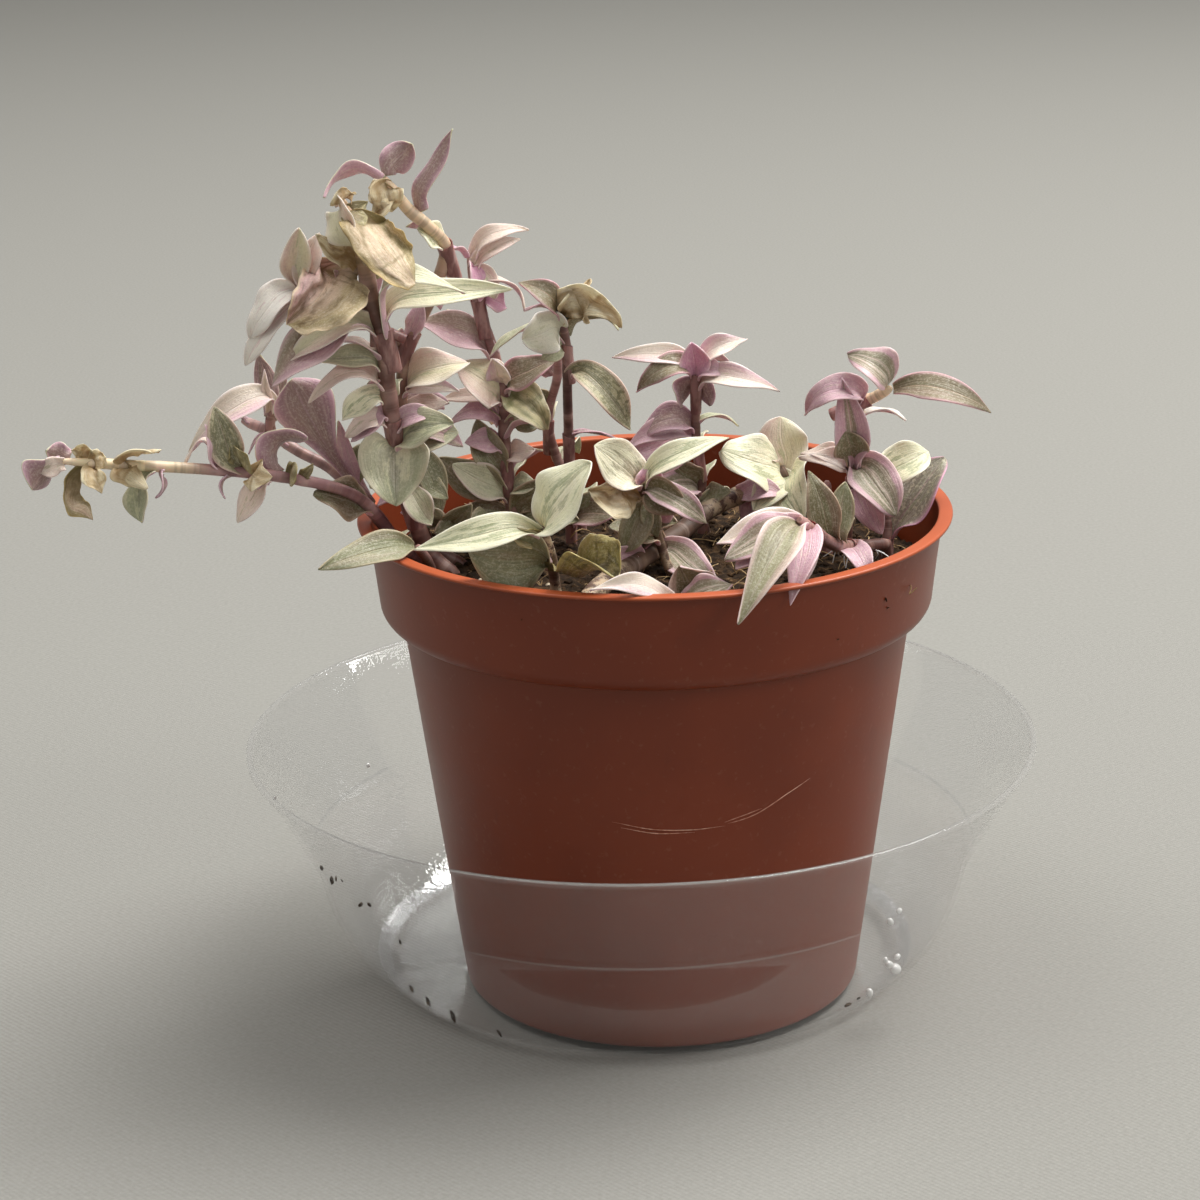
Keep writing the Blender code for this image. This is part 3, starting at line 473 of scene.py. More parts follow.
def join(pieces, name):
    """Makes several pieces one."""
    activate(pieces[0])
    for piece in pieces[1:]:
        piece.select_set(True)
    if len(pieces) > 1:
        bpy.ops.object.join()
    pieces[0].name = pieces[0].data.name = name
    return pieces[0]


def smooth(obj, degrees):
    """Shades a piece smooth, apart from edges sharper than this."""
    activate(obj)
    bpy.ops.object.shade_smooth_by_angle(angle=math.radians(degrees))
    return obj


def keep(obj, slot, *nodes):
    """Hangs a finished piece on the root body and hides the solids that it stands for; its slot is
    not used.
    """
    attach(obj, "root")
    if nodes:
        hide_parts(*nodes)


# ---------------------------------------------------------------------------------------------
# Materials
# ---------------------------------------------------------------------------------------------


class Tree:
    """A material's nodes, with short names for the kinds used here."""

    def __init__(self, name):
        self.material = bpy.data.materials.new(name)
        self.material.use_nodes = True
        self.tree = self.material.node_tree
        self.shader = self.tree.nodes["Principled BSDF"]

    def feed(self, socket, value):
        if isinstance(value, bpy.types.NodeSocket):
            self.tree.links.new(value, socket)
        else:
            socket.default_value = value

    def node(self, kind, inputs=None, output=0, **settings):
        """Adds a node and gives one of its outputs."""
        node = self.tree.nodes.new(kind)
        for key, value in settings.items():
            setattr(node, key, value)
        for key, value in (inputs or {}).items():
            self.feed(node.inputs[key], value)
        return node.outputs[output]

    def math(self, operation, a, b=0.0, c=0.0):
        return self.node("ShaderNodeMath", {0: a, 1: b, 2: c}, operation=operation)

    def off(self, value, middle):
        """How far a value is from a middle one, either way."""
        return self.math("ABSOLUTE", self.math("SUBTRACT", value, middle))

    def step(self, value, low, high):
        """0 below one value and 1 above the other."""
        return self.node("ShaderNodeMapRange", {0: value, 1: low, 2: high, 3: 0.0, 4: 1.0},
                         interpolation_type="SMOOTHSTEP")

    def mix(self, share, a, b):
        return self.node("ShaderNodeMix", {0: share, 6: a, 7: b}, 2, data_type="RGBA")

    def tint(self, ground, colour, strength, value, low, high):
        """The ground with a colour laid over it where a value passes from low to high."""
        share = self.math("MULTIPLY", self.step(value, low, high), strength)
        return self.mix(share, ground, colour)

    def ramp(self, share, stops):
        output = self.node("ShaderNodeValToRGB", {0: share})
        output.node.color_ramp.interpolation = "EASE"
        elements = output.node.color_ramp.elements
        while len(elements) < len(stops):
            elements.new(0.5)
        for element, (position, colour) in zip(elements, stops):
            element.position = position
            element.color = colour
        return output

    def attribute(self, name):
        return self.node("ShaderNodeAttribute", output="Fac", attribute_name=name)

    def object_place(self, scale=(1000, 1000, 1000)):
        """A point's place on the object: in millimetres, unless another scale is given."""
        place = self.node("ShaderNodeTexCoord", output="Object")
        return self.node("ShaderNodeMapping", {0: place, 3: scale})

    def parts(self, vector):
        """The three numbers of a vector."""
        return self.node("ShaderNodeSeparateXYZ", {0: vector}).node.outputs[:]

    def vector(self, x, y, z):
        return self.node("ShaderNodeCombineXYZ", {0: x, 1: y, 2: z})

    def noise(self, vector, scale, detail, rough=0.55):
        return self.node("ShaderNodeTexNoise", {"Vector": vector, "Scale": scale,
                                                "Detail": detail, "Roughness": rough})

    def bump(self, height, strength, distance):
        normal = self.node("ShaderNodeBump", {"Height": height, "Strength": strength,
                                              "Distance": distance})
        self.feed(self.shader.inputs["Normal"], normal)

    def blend(self, share, first, second):
        """Makes the whole surface a blend of two shaders."""
        surface = self.node("ShaderNodeMixShader", {0: share, 1: first, 2: second})
        self.feed(self.tree.nodes["Material Output"].inputs[0], surface)

    def set(self, **values):
        for key, value in values.items():
            self.feed(self.shader.inputs[key.replace("_", " ")], value)
        return self.material


BLACK = (0, 0, 0, 1)


def leaf_finish(name, across, patch, patch_low, edge, fleck=None, rough=0.36, bloom=0.14,
                crease_shade_and_dark_tone=None):
    """A leaf's skin.  Across runs over the blade from side to side, streaky patches of a second
    colour lie on it, most of them near its middle, fine veins run along it, a waxy bloom pales it
    and its edge has its own colour.  A dry one is darker towards its base and in its wrinkles, and
    painted shade darkens its creases."""
    tree = Tree(name)
    side, along, _ = tree.parts(tree.node("ShaderNodeUVMap", uv_map="blade"))
    seed = tree.attribute("seed")
    lane = tree.math("MULTIPLY", seed, 40.0)
    fold = tree.off(side, 0.5)
    own = tree.object_place((900, 900, 900))
    wander = tree.noise(own, 0.35, 3)
    side_off = tree.math("MULTIPLY_ADD", tree.math("SUBTRACT", wander, 0.5), 0.12, side)
    colour = tree.ramp(side_off, across)

    def lengthwise(over_side, over_length):
        """A place on the blade that differs from leaf to leaf and is drawn out along it."""
        return tree.vector(tree.math("MULTIPLY", side, over_side),
                           tree.math("MULTIPLY", along, over_length), lane)

    streak_place = lengthwise(5.0, 1.6)
    streaks = tree.noise(streak_place, 1.5, 6, 0.7)
    centred = tree.math("MULTIPLY_ADD", fold, -0.22, tree.math("ADD", streaks, 0.04))
    colour = tree.tint(colour, patch, 0.85, centred, patch_low, patch_low + 0.09)
    wash = tree.noise(streak_place, 0.45, 2)
    colour = tree.tint(colour, tree.mix(0.5, colour, srgb(232, 176, 190)), 0.22, wash, 0.50, 0.66)
    veins = tree.noise(lengthwise(30.0, 2.4), 1.0, 3, 0.6)
    cells = tree.noise(own, 2.2, 3, 0.75)
    light = tree.mix(0.55, colour, srgb(246, 240, 222))
    dark = tree.mix(0.45, colour, srgb(60, 50, 36))
    colour = tree.tint(colour, light, 0.40, veins, 0.50, 0.70)
    colour = tree.tint(colour, dark, 0.38, veins, 0.46, 0.32)
    colour = tree.tint(colour, light, 0.50, cells, 0.48, 0.66)
    colour = tree.tint(colour, dark, 0.32, cells, 0.46, 0.32)
    if fleck:
        colour = tree.tint(colour, fleck, 0.8, tree.noise(own, 1.3, 2, 0.5), 0.56, 0.62)
    colour = tree.mix(tree.math("MULTIPLY", seed, 0.1), colour, tree.mix(0.6, colour, BLACK))
    colour = tree.mix(bloom, colour, srgb(250, 244, 232))
    rib = tree.step(fold, 0.03, 0.0)
    colour = tree.mix(tree.math("MULTIPLY", rib, 0.25), colour, edge)
    border = tree.math("MULTIPLY_ADD", streaks, 0.16, fold)
    colour = tree.tint(colour, edge, 0.55, border, 0.42, 0.56)
    colour = tree.tint(colour, edge, 0.8, fold, 0.45, 0.48)
    height = tree.math("MULTIPLY_ADD", veins, 1.6, cells)
    if crease_shade_and_dark_tone:
        wrinkles = tree.noise(streak_place, 2.6, 6, 0.75)
        # Painted shade in the creases of a dry blade, from its fold attribute; then darker towards
        # the base and in the wrinkles.
        colour = tree.tint(colour, crease_shade_and_dark_tone, 0.6, tree.attribute("fold"), 0.1, 0.9)
        colour = tree.tint(colour, crease_shade_and_dark_tone, 0.6, along, 0.45, 0.1)
        colour = tree.tint(colour, crease_shade_and_dark_tone, 0.55, wrinkles, 0.52, 0.66)
        height = tree.math("MULTIPLY_ADD", wrinkles, 5.0, height)
    tree.bump(tree.math("SUBTRACT", height, rib), 0.5, 0.00025)
    return tree.set(Base_Color=colour, Roughness=rough, Specular_IOR_Level=0.5,
                    Subsurface_Weight=0.35, Subsurface_Radius=(1.0, 0.9, 0.8),
                    Subsurface_Scale=0.0007)


def plain(colour):
    return ((0.0, colour), (1.0, colour))


def stripes(ground, light, *places, width=0.035):
    """Stops for a ground colour with light stripes at some places across the blade."""
    stops = [(0.0, ground)]
    for place in places:
        stops += [(place - width, ground), (place, light), (place + width, ground)]
    return (*stops, (1.0, ground))


SAGE, PALE, CREAM = srgb(168, 174, 132), srgb(212, 214, 172), srgb(240, 238, 200)
BLUSH, WHITISH, PINK = srgb(240, 216, 202), srgb(252, 243, 233), srgb(220, 164, 190)
MAUVE, OLIVE, SLATE = srgb(210, 160, 180), srgb(114, 106, 62), srgb(128, 132, 90)
TAN, OCHRE = srgb(202, 176, 146), srgb(164, 152, 90)

LEAF_FINISHES = {
    "sage": leaf_finish("sage", stripes(SAGE, srgb(128, 136, 98), 0.5, width=0.16), PALE, 0.52,
                        srgb(218, 210, 185)),
    "cream": leaf_finish("cream", plain(CREAM), srgb(158, 168, 116), 0.49, srgb(244, 238, 214)),
    "blush": leaf_finish("blush", plain(BLUSH), srgb(190, 176, 140), 0.55, srgb(240, 216, 208)),
    "white": leaf_finish("white", plain(WHITISH), srgb(226, 188, 190), 0.55,
                         srgb(244, 230, 222)),
    "pink_blush": leaf_finish(
        "pink_blush", ((0.0, PINK), (0.3, srgb(224, 192, 190)), (0.6, srgb(238, 222, 208)),
                       (1.0, srgb(238, 224, 204))), srgb(206, 196, 156), 0.56,
        srgb(246, 228, 222)),
    "pink_cream": leaf_finish(
        "pink_cream", ((0.0, srgb(222, 184, 176)), (0.35, srgb(228, 206, 184)),
                       (0.65, srgb(226, 218, 178)), (1.0, srgb(232, 222, 190))),
        srgb(184, 184, 134), 0.56, srgb(244, 230, 216)),
    "pale_sage": leaf_finish("pale_sage", plain(srgb(196, 200, 160)), SAGE, 0.52,
                             srgb(232, 214, 204)),
    "mottled_sage": leaf_finish("mottled_sage", plain(srgb(184, 176, 138)),
                                srgb(106, 104, 64), 0.42, srgb(214, 186, 174),
                                fleck=srgb(112, 108, 68), bloom=0.06),
    "gilded": leaf_finish("gilded", plain(srgb(224, 216, 160)), srgb(134, 138, 74), 0.56,
                          srgb(244, 230, 204), crease_shade_and_dark_tone=srgb(104, 108, 56)),
    "olive_mauve": leaf_finish(
        "olive_mauve", ((0.0, srgb(212, 164, 180)), (0.4, srgb(196, 148, 160)),
                        (0.7, srgb(158, 130, 112)), (1.0, OLIVE)), srgb(176, 152, 126), 0.56,
        srgb(232, 202, 204)),
    "mint": leaf_finish("mint", plain(srgb(238, 238, 214)), PALE, 0.55, WHITISH, rough=0.55),
    "mauve": leaf_finish("mauve", stripes(MAUVE, srgb(214, 180, 184), 0.35, 0.65), BLUSH, 0.62,
                         srgb(232, 200, 204)),
    "magenta": leaf_finish("magenta", plain(srgb(218, 146, 184)), srgb(184, 128, 150), 0.60,
                           srgb(236, 204, 208)),
    "plum": leaf_finish("plum", ((0.0, srgb(176, 126, 148)), (0.4, srgb(156, 120, 118)),
                                 (0.6, srgb(156, 120, 118)), (1.0, srgb(176, 126, 148))),
                        srgb(186, 158, 146), 0.58, srgb(228, 194, 204), bloom=0.08),
    "striped_plum": leaf_finish(
        "striped_plum", stripes(srgb(150, 112, 116), srgb(196, 160, 160), 0.2, 0.4, 0.6, 0.8),
        OLIVE, 0.56, srgb(220, 186, 190)),
    "olive": leaf_finish("olive", stripes(OLIVE, srgb(138, 130, 92), 0.5), SLATE, 0.50,
                         srgb(186, 162, 140), bloom=0.05),
    "olive_pink": leaf_finish("olive_pink", stripes(srgb(122, 106, 68), srgb(176, 158, 116), 0.5),
                              OLIVE, 0.54, srgb(220, 172, 182), bloom=0.08),
    "twin_olive": leaf_finish(
        "twin_olive", ((0.0, MAUVE), (0.12, MAUVE), (0.20, srgb(140, 124, 96)), (0.34, OLIVE),
                       (0.40, srgb(196, 176, 160)), (0.48, OLIVE), (0.56, OLIVE),
                       (0.62, srgb(196, 176, 160)), (0.68, OLIVE), (0.80, srgb(140, 124, 96)),
                       (0.88, MAUVE), (1.0, MAUVE)), srgb(134, 128, 98), 0.56,
        srgb(226, 196, 196)),
    "slate": leaf_finish("slate", plain(SLATE), srgb(142, 142, 98), 0.52, srgb(180, 168, 138),
                         bloom=0.06),
    "speckled": leaf_finish("speckled", plain(srgb(108, 100, 76)), SLATE, 0.50, PINK,
                            fleck=srgb(192, 186, 156)),
    "mottled": leaf_finish("mottled", plain(srgb(226, 222, 188)), srgb(132, 128, 82), 0.50,
                           srgb(240, 226, 206)),
    "half_pink": leaf_finish(
        "half_pink", ((0.0, BLUSH), (0.16, srgb(190, 166, 150)), (0.28, srgb(142, 138, 98)),
                      (0.85, srgb(134, 130, 90)), (1.0, srgb(200, 178, 162))),
        srgb(108, 102, 66), 0.50, srgb(236, 212, 206), bloom=0.06),
    "paper": leaf_finish("paper", ((0.0, srgb(134, 122, 64)), (0.22, srgb(170, 150, 100)),
                                   (0.4, TAN), (0.75, TAN), (1.0, srgb(140, 122, 80))),
                         srgb(228, 206, 172), 0.52, srgb(190, 164, 110),
                         rough=0.6, bloom=0.06, crease_shade_and_dark_tone=srgb(112, 98, 48)),
    "gold": leaf_finish("gold", plain(OCHRE), srgb(128, 116, 60), 0.50, srgb(206, 190, 140),
                        rough=0.55, crease_shade_and_dark_tone=srgb(100, 88, 44)),
    "moss": leaf_finish("moss", plain(srgb(150, 142, 74)), srgb(92, 88, 42), 0.48,
                        srgb(176, 160, 104), rough=0.5, bloom=0.03, crease_shade_and_dark_tone=srgb(70, 64, 32)),
    "husk": leaf_finish("husk", plain(srgb(240, 220, 176)), srgb(250, 238, 208), 0.52,
                        srgb(246, 232, 196), rough=0.55, crease_shade_and_dark_tone=srgb(150, 116, 62)),
    "withered": leaf_finish(
        "withered", ((0.0, srgb(132, 122, 52)), (0.25, srgb(166, 146, 88)),
                     (0.45, srgb(218, 186, 160)), (0.7, srgb(220, 180, 172)),
                     (1.0, srgb(206, 150, 164))),
        srgb(160, 142, 84), 0.56, srgb(238, 212, 178), rough=0.55, bloom=0.08,
        crease_shade_and_dark_tone=srgb(104, 80, 44)),
    "spear": leaf_finish(
        "spear", ((0.0, MAUVE), (0.30, MAUVE), (0.42, srgb(140, 122, 92)),
                  (0.50, srgb(204, 182, 164)), (0.58, srgb(140, 122, 92)), (0.70, MAUVE),
                  (1.0, MAUVE)), srgb(190, 150, 156), 0.58, srgb(226, 196, 204)),
}
# Dead looks, and purple ones, whose leaves are alike on both sides.
DRIED = ("paper", "gold", "moss", "husk", "withered")
PURPLE = ("plum", "mauve", "magenta", "striped_plum")


def bark(name, lower, upper, joint, rough=0.42, crack=0.0, pale=0.6, change=(0.35, 0.9)):
    """A stem's skin: fine streaks along it, one colour low down and another near its end, paler
    bands at the joints and, on an old stem, cracks that bare two stretches of dry wood."""
    tree = Tree(f"bark_{name}")
    share = tree.attribute("share")
    round_it = tree.parts(tree.node("ShaderNodeUVMap", uv_map="UVMap"))[0]
    turn = tree.math("MULTIPLY", round_it, math.tau)
    around = tree.vector(tree.math("COSINE", turn), tree.math("SINE", turn),
                         tree.math("MULTIPLY", share, 2.5))
    grain = tree.noise(around, 4.5, 4, 0.6)
    patches = tree.noise(tree.object_place(), 0.22, 3)
    ground = tree.mix(tree.step(share, *change), lower, upper)
    for strength, over, amount, value, low, high in (
            (0.5, srgb(214, 172, 158), pale, patches, 0.42, 0.66),
            (0.62, srgb(30, 14, 12), 0.5, grain, 0.48, 0.62),
            (0.5, srgb(236, 212, 198), 0.35, grain, 0.44, 0.34)):
        ground = tree.tint(ground, tree.mix(strength, ground, over), amount, value, low, high)
    ground = tree.mix(tree.math("MULTIPLY", tree.attribute("ring"), 0.3), ground, joint)
    height = grain
    if crack:
        cracks = tree.noise(tree.object_place((420, 420, 420)), 0.9, 6, 0.75)
        low, high = (tree.step(tree.off(share, spot), 0.17, 0.08) for spot in (0.14, 0.77))
        bare = tree.math("MULTIPLY", tree.step(cracks, 0.44, 0.55), tree.math("MAXIMUM", low, high))
        ground = tree.mix(tree.math("MULTIPLY", bare, crack), ground, srgb(198, 176, 146))
        height = tree.math("ADD", grain, cracks)
    tree.bump(height, 0.4, 0.0002)
    return tree.set(Base_Color=ground, Roughness=rough, Subsurface_Weight=0.1,
                    Subsurface_Scale=0.001)


BARKS = {
    "purple": bark("purple", srgb(112, 78, 70), srgb(164, 124, 120), srgb(206, 170, 160)),
    "dark": bark("dark", srgb(82, 58, 50), srgb(116, 82, 78), srgb(150, 118, 108)),
    "tan_top": bark("tan_top", srgb(122, 84, 76), srgb(232, 206, 170), srgb(232, 204, 178)),
    "tan_tip": bark("tan_tip", srgb(112, 78, 70), srgb(206, 176, 128), srgb(206, 170, 160),
                    change=(0.70, 0.86)),
    "rosy": bark("rosy", srgb(142, 104, 104), srgb(196, 162, 158), srgb(222, 190, 182)),
    "trailing": bark("trailing", srgb(166, 122, 124), srgb(244, 226, 186), srgb(226, 190, 186),
                     change=(0.66, 0.80)),
    "woody": bark("woody", srgb(84, 62, 46), srgb(74, 52, 46), srgb(150, 126, 100), 0.6, 0.8, 0.15),
}


# Stems with these barks have no sheaths left.
BARE_BARKS = ("woody", "trailing", "rosy")


def pot_finish():
    """Moulded satin plastic, a little cloudy, with fine dust, and a lip made paler by painted
    highlight.
    """
    tree = Tree("terracotta_plastic")
    wide = tree.step(tree.noise(tree.object_place((30, 30, 30)), 1.0, 2), 0.3, 0.7)
    up = tree.parts(tree.object_place())[2]
    dust = tree.noise(tree.object_place((700, 700, 700)), 1.0, 4)
    stain = tree.noise(tree.object_place((160, 160, 90)), 1.0, 5, 0.7)
    colour = tree.mix(wide, srgb(112, 45, 20), srgb(122, 51, 24))
    # Painted highlight: the lip, above about 101 mm, is painted paler.
    colour = tree.tint(colour, srgb(184, 90, 52), 0.9, up, 100.7, 101.4)
    colour = tree.tint(colour, srgb(196, 160, 140), 0.06, dust, 0.60, 0.72)
    colour = tree.tint(colour, srgb(84, 42, 28), 0.25, stain, 0.60, 0.76)
    tree.bump(tree.noise(tree.object_place((1500, 1500, 1500)), 1.0, 2), 0.1, 0.0001)
    return tree.set(Base_Color=colour, Roughness=tree.math("MULTIPLY_ADD", wide, 0.08, 0.34),
                    Specular_IOR_Level=0.35)


def clear_finish():
    """Thin clear plastic: what is behind shows through unbent, it mirrors more where it turns away,
    and it is a little hazy, most of all along its rim, its step and its foot."""
    tree = Tree("clear_plastic")
    ripple = tree.noise(tree.object_place((60, 60, 60)), 1.0, 5, 0.65)
    smudge = tree.noise(tree.object_place((22, 22, 60)), 1.0, 4, 0.6)
    tree.bump(ripple, 0.45, 0.0016)
    tree.set(Base_Color=srgb(240, 241, 242), Metallic=1.0, Roughness=0.06)
    up = tree.parts(tree.object_place())[2]
    step_ring = tree.math("MULTIPLY", tree.step(tree.off(up, 27.0), 0.45, 0.2), 0.4)
    base_ring = tree.math("MULTIPLY", tree.step(tree.off(up, 2.2), 1.2, 0.6), 0.9)
    lines = tree.math("MAXIMUM", tree.step(up, 49.2, 49.8),
                      tree.math("MAXIMUM", step_ring, base_ring))
    low = tree.math("MULTIPLY", tree.step(up, 26.6, 25.8), tree.step(up, 9.0, 15.0))
    cloud = tree.math("MULTIPLY_ADD", tree.step(smudge, 0.45, 0.8), 0.014, 0.007)
    cloud = tree.math("MULTIPLY_ADD", low, 0.026, cloud)
    cloud = tree.math("MULTIPLY_ADD", lines, 0.05, cloud)
    clear = tree.node("ShaderNodeBsdfTransparent", {0: srgb(254, 254, 254)})
    haze = tree.node("ShaderNodeBsdfDiffuse", {0: srgb(240, 237, 236)})
    through = tree.node("ShaderNodeMixShader", {0: cloud, 1: clear, 2: haze})
    turned = tree.node("ShaderNodeFresnel", {"IOR": 1.4})
    mirror = tree.math("MULTIPLY", turned, tree.math("MULTIPLY_ADD", lines, 0.5, 0.16))
    tree.blend(mirror, through, tree.shader.outputs[0])
    return tree.material


def glint_bead_finish():
    """Water painted white for its glints: a white glossy surface for seven tenths or more of the
    look, all of it at the edges, with clear water for the rest.
    """
    tree = Tree("water_bead_painted_glint")
    tree.set(Base_Color=srgb(250, 250, 248), Roughness=0.04, Specular_IOR_Level=1.0)
    clear = tree.node("ShaderNodeBsdfTransparent", {0: srgb(250, 250, 250)})
    turned = tree.node("ShaderNodeFresnel", {"IOR": 1.33})
    tree.blend(tree.math("MULTIPLY_ADD", turned, 0.3, 0.7), clear, tree.shader.outputs[0])
    return tree.material


def compost_finish(name="compost"):
    """Dark damp compost with paler woody lumps."""
    tree = Tree(name)
    own = tree.object_place()
    lumps = tree.noise(own, 0.42, 6, 0.7)
    fine = tree.noise(own, 2.2, 3, 0.65)
    colour = tree.ramp(lumps, ((0.32, srgb(22, 15, 9)), (0.47, srgb(46, 33, 21)),
                               (0.61, srgb(84, 63, 42)), (0.73, srgb(158, 128, 94))))
    colour = tree.tint(colour, srgb(36, 24, 14), 0.45, fine, 0.48, 0.7)
    tree.bump(tree.math("ADD", lumps, fine), 0.6, 0.0006)
    return tree.set(Base_Color=colour, Roughness=0.95, Specular_IOR_Level=0.2)


def two_tone_finish(name, scale, detail, dark, light, rough):
    """A plain dull finish that wanders between two colours, each given with its stop."""
    tree = Tree(name)
    shade = tree.ramp(tree.noise(tree.object_place(), scale, detail), (dark, light))
    return tree.set(Base_Color=shade, Roughness=rough)


def sheath_finish():
    """The papery mauve skin of a sheath, streaked along the stem's height."""
    tree = Tree("sheath")
    own = tree.noise(tree.object_place((1000, 1000, 300)), 0.6, 3)
    colour = tree.ramp(own, ((0.40, srgb(126, 86, 82)), (0.62, srgb(172, 132, 126))))
    tree.bump(own, 0.3, 0.0003)
    return tree.set(Base_Color=colour, Roughness=0.42, Subsurface_Weight=0.2,
                    Subsurface_Scale=0.001)


# ---------------------------------------------------------------------------------------------
# Lathed pieces: pot, saucer and compost
# ---------------------------------------------------------------------------------------------


def lathe(name, profile, steps, axis=POT_AXIS):
    """A body spun about an upright axis from (radius, height) points in millimetres."""
    mesh = bpy.data.meshes.new(name)
    points = [(radius * MM, 0, height * MM) for radius, height in profile]
    mesh.from_pydata(points, [(i, i + 1) for i in range(len(points) - 1)], [])
    obj = add_object(name, mesh)
    edit_all(obj)
    bpy.ops.mesh.spin(steps=steps, angle=math.tau, center=(0, 0, 0), axis=(0, 0, 1))
    bpy.ops.mesh.select_all(action="SELECT")
    bpy.ops.mesh.remove_doubles(threshold=DOUBLES)
    bpy.ops.mesh.normals_make_consistent(inside=False)
    bpy.ops.object.mode_set(mode="OBJECT")
    mesh.transform(Matrix.Translation(axis * MM))
    return obj


def arc(centre, radius, start, end, steps):
    """Points of a profile on an arc, from one angle to another in degrees."""
    angles = [math.radians(start + (end - start) * i / steps) for i in range(steps + 1)]
    return [(centre[0] + radius * math.cos(a), centre[1] + radius * math.sin(a)) for a in angles]


# The drainage holes in the pot's floor: how many, how wide each is and how far out they sit.
DRAIN_HOLES, DRAIN_RADIUS, DRAIN_RING = 6, 3.5, 29


def make_pot():
    """The pot's wall: foot, straight body, rounded collar and a flat lip with a soft edge."""
    profile = [(0, 2.6), (36, 2.6), (36.6, 2.4), (37.3, 1.3), (37.8, 1.1)]
    profile += arc((40.3, 2.1), 1.0, -90, 0, 5)
    profile += [(46.5, 41), (51.7, 80.4)]
    profile += arc((52.1, 81.0), 0.4, 160, 90, 3)
    profile += arc((52.6, 84.6), 3.5, -80, -2, 8)
    profile += [(57.0, 92.5), (58.0, 100.2)]
    profile += arc((58.5, 100.3), 0.3, 180, 100, 2)
    profile += arc((59.55, 101.05), 0.45, -90, 90, 6)
    profile += arc((57.6, 101.0), 0.5, 90, 180, 4)
    profile += [(56.9, 99.5), (55.6, 88.0), (54.9, 84.3), (53.6, 82.2), (51.2, 80.8), (50.6, 79.8)]
    profile += [(45.5, 41), (40.4, 4.4), (39.8, 4.0), (0, 4.0)]
    pot = lathe("pot_shell", profile, 180)
    for i in range(DRAIN_HOLES):
        angle = math.tau * i / DRAIN_HOLES
        spot = Vector((math.cos(angle), math.sin(angle), 0)) * DRAIN_RING + POT_AXIS
        deselect()
        bpy.ops.mesh.primitive_cylinder_add(vertices=32, radius=DRAIN_RADIUS * MM, depth=10 * MM,
                                            location=(spot + Vector((0, 0, 3))) * MM)
        drill = bpy.context.object
        hole = pot.modifiers.new("drain", "BOOLEAN")
        hole.object = drill
        apply_modifiers(pot)
        remove(drill)
    pot.data.materials.clear()
    pot.data.materials.append(pot_finish())
    keep(smooth(pot, 40), "pot", "pot")


def make_saucer():
    """A deep dish of thin clear plastic: flat base, rounded bowl, step ring, flare, rolled rim."""
    outer = [(0, 0), (50.5, 0), (53.5, 0.8), (56.5, 2.6), (59.2, 4.7), (61.5, 6.9), (63.7, 9.7)]
    outer += [(65.5, 13.0), (66.9, 16.4), (68.0, 20.0), (68.9, 24.0), (69.3, 26.0), (69.8, 26.8)]
    outer += [(70.2, 27.6), (76.0, 38.9), (81.0, 48.2)]
    rim = arc((82.0, 49.7), 0.7, -50, 180, 8)
    inner = [(80.3, 48.2), (75.2, 39.2), (69.4, 28.2), (69.0, 27.3), (68.5, 26.4), (68.1, 24.2)]
    inner += [(67.2, 20.2), (66.1, 16.7), (64.7, 13.4), (63.0, 10.2), (60.9, 7.5), (58.7, 5.4)]
    inner += [(56.0, 3.3), (53.2, 1.6), (50.4, 0.8), (0, 0.8)]
    saucer = lathe("saucer_dish", outer + rim + inner, 180, Vector((0, 0, 0)))
    saucer.data.materials.append(clear_finish())
    keep(smooth(saucer, 40), "saucer", "saucer")


# Bits of compost caught on the saucer and the collar: degrees round from the right, height, size.
SAUCER_BITS = ((201, 31, 0.7), (205, 30, 0.8), (210, 33, 0.5), (213, 34, 0.4), (215, 29, 0.8),
               (219, 31, 0.6), (224, 24, 0.5), (206, 2.6, 0.9), (213, 2.2, 1.0), (222, 2.0, 1.2),
               (236, 2.2, 0.8), (318, 3, 1.0), (322, 3, 0.6), (74, 9, 0.6), (120, 20, 0.5))
COLLAR_BITS = ((319, 93, 0.45), (320, 91, 0.35), (306, 88, 0.25), (243, 95, 0.2), (130, 90, 0.4))
# Beads of water on the saucer, painted white for their glints: degrees round from the right,
# height, size.
WATER_BEADS = ((318, 15, 1.1), (322, 12, 1.5), (316, 17, 0.7), (314, 27, 0.9), (315.5, 29, 0.7),
               (317, 8, 1.0), (320, 16, 0.8), (196, 45, 0.5), (150, 30, 0.6))
# Walls that things lie on, as heights and radii.
SAUCER_WALL = ((0.8, 50), (1.6, 53), (7.5, 60.7), (13.4, 64.5), (20.2, 67.0), (28.2, 69.2),
               (39.2, 75.0), (48, 80.0))
COLLAR_WALL = ((84.6, 56.3), (92.5, 57.2), (100.2, 58.2))
BODY_WALL = ((2.1, 41.5), (41, 46.6), (80.4, 51.8))
# Where air roots grow, from the pot's axis.
ROOT_SPOTS = ((40, -14, 96), (38, -17, 97), (43, -11, 95), (36, -19, 98), (30, 17, 101),
              (26, 15, 101))
ROOTS_AT_A_SPOT = 4
# Hairline scratches round the body: degrees and height of each point.
SCRATCHES = (((258, 52.4), (267, 51.0), (276, 50.6), (284, 50.8)),
             ((260, 51.2), (268, 50.1), (277, 50.0)),
             ((277, 50.4), (290, 52.0), (300, 55.6), (306, 57.6)),
             ((284, 51.6), (293, 53.4)))


def on_wall(wall, degrees, height):
    """A point on a lathed wall, from its axis, given the wall's (height, radius) points."""
    for (low, inner), (high, outer) in zip(wall, wall[1:]):
        if height <= high:
            break
    radius = inner + (outer - inner) * (height - low) / (high - low)
    angle = math.radians(degrees)
    return Vector((radius * math.cos(angle), radius * math.sin(angle), height))


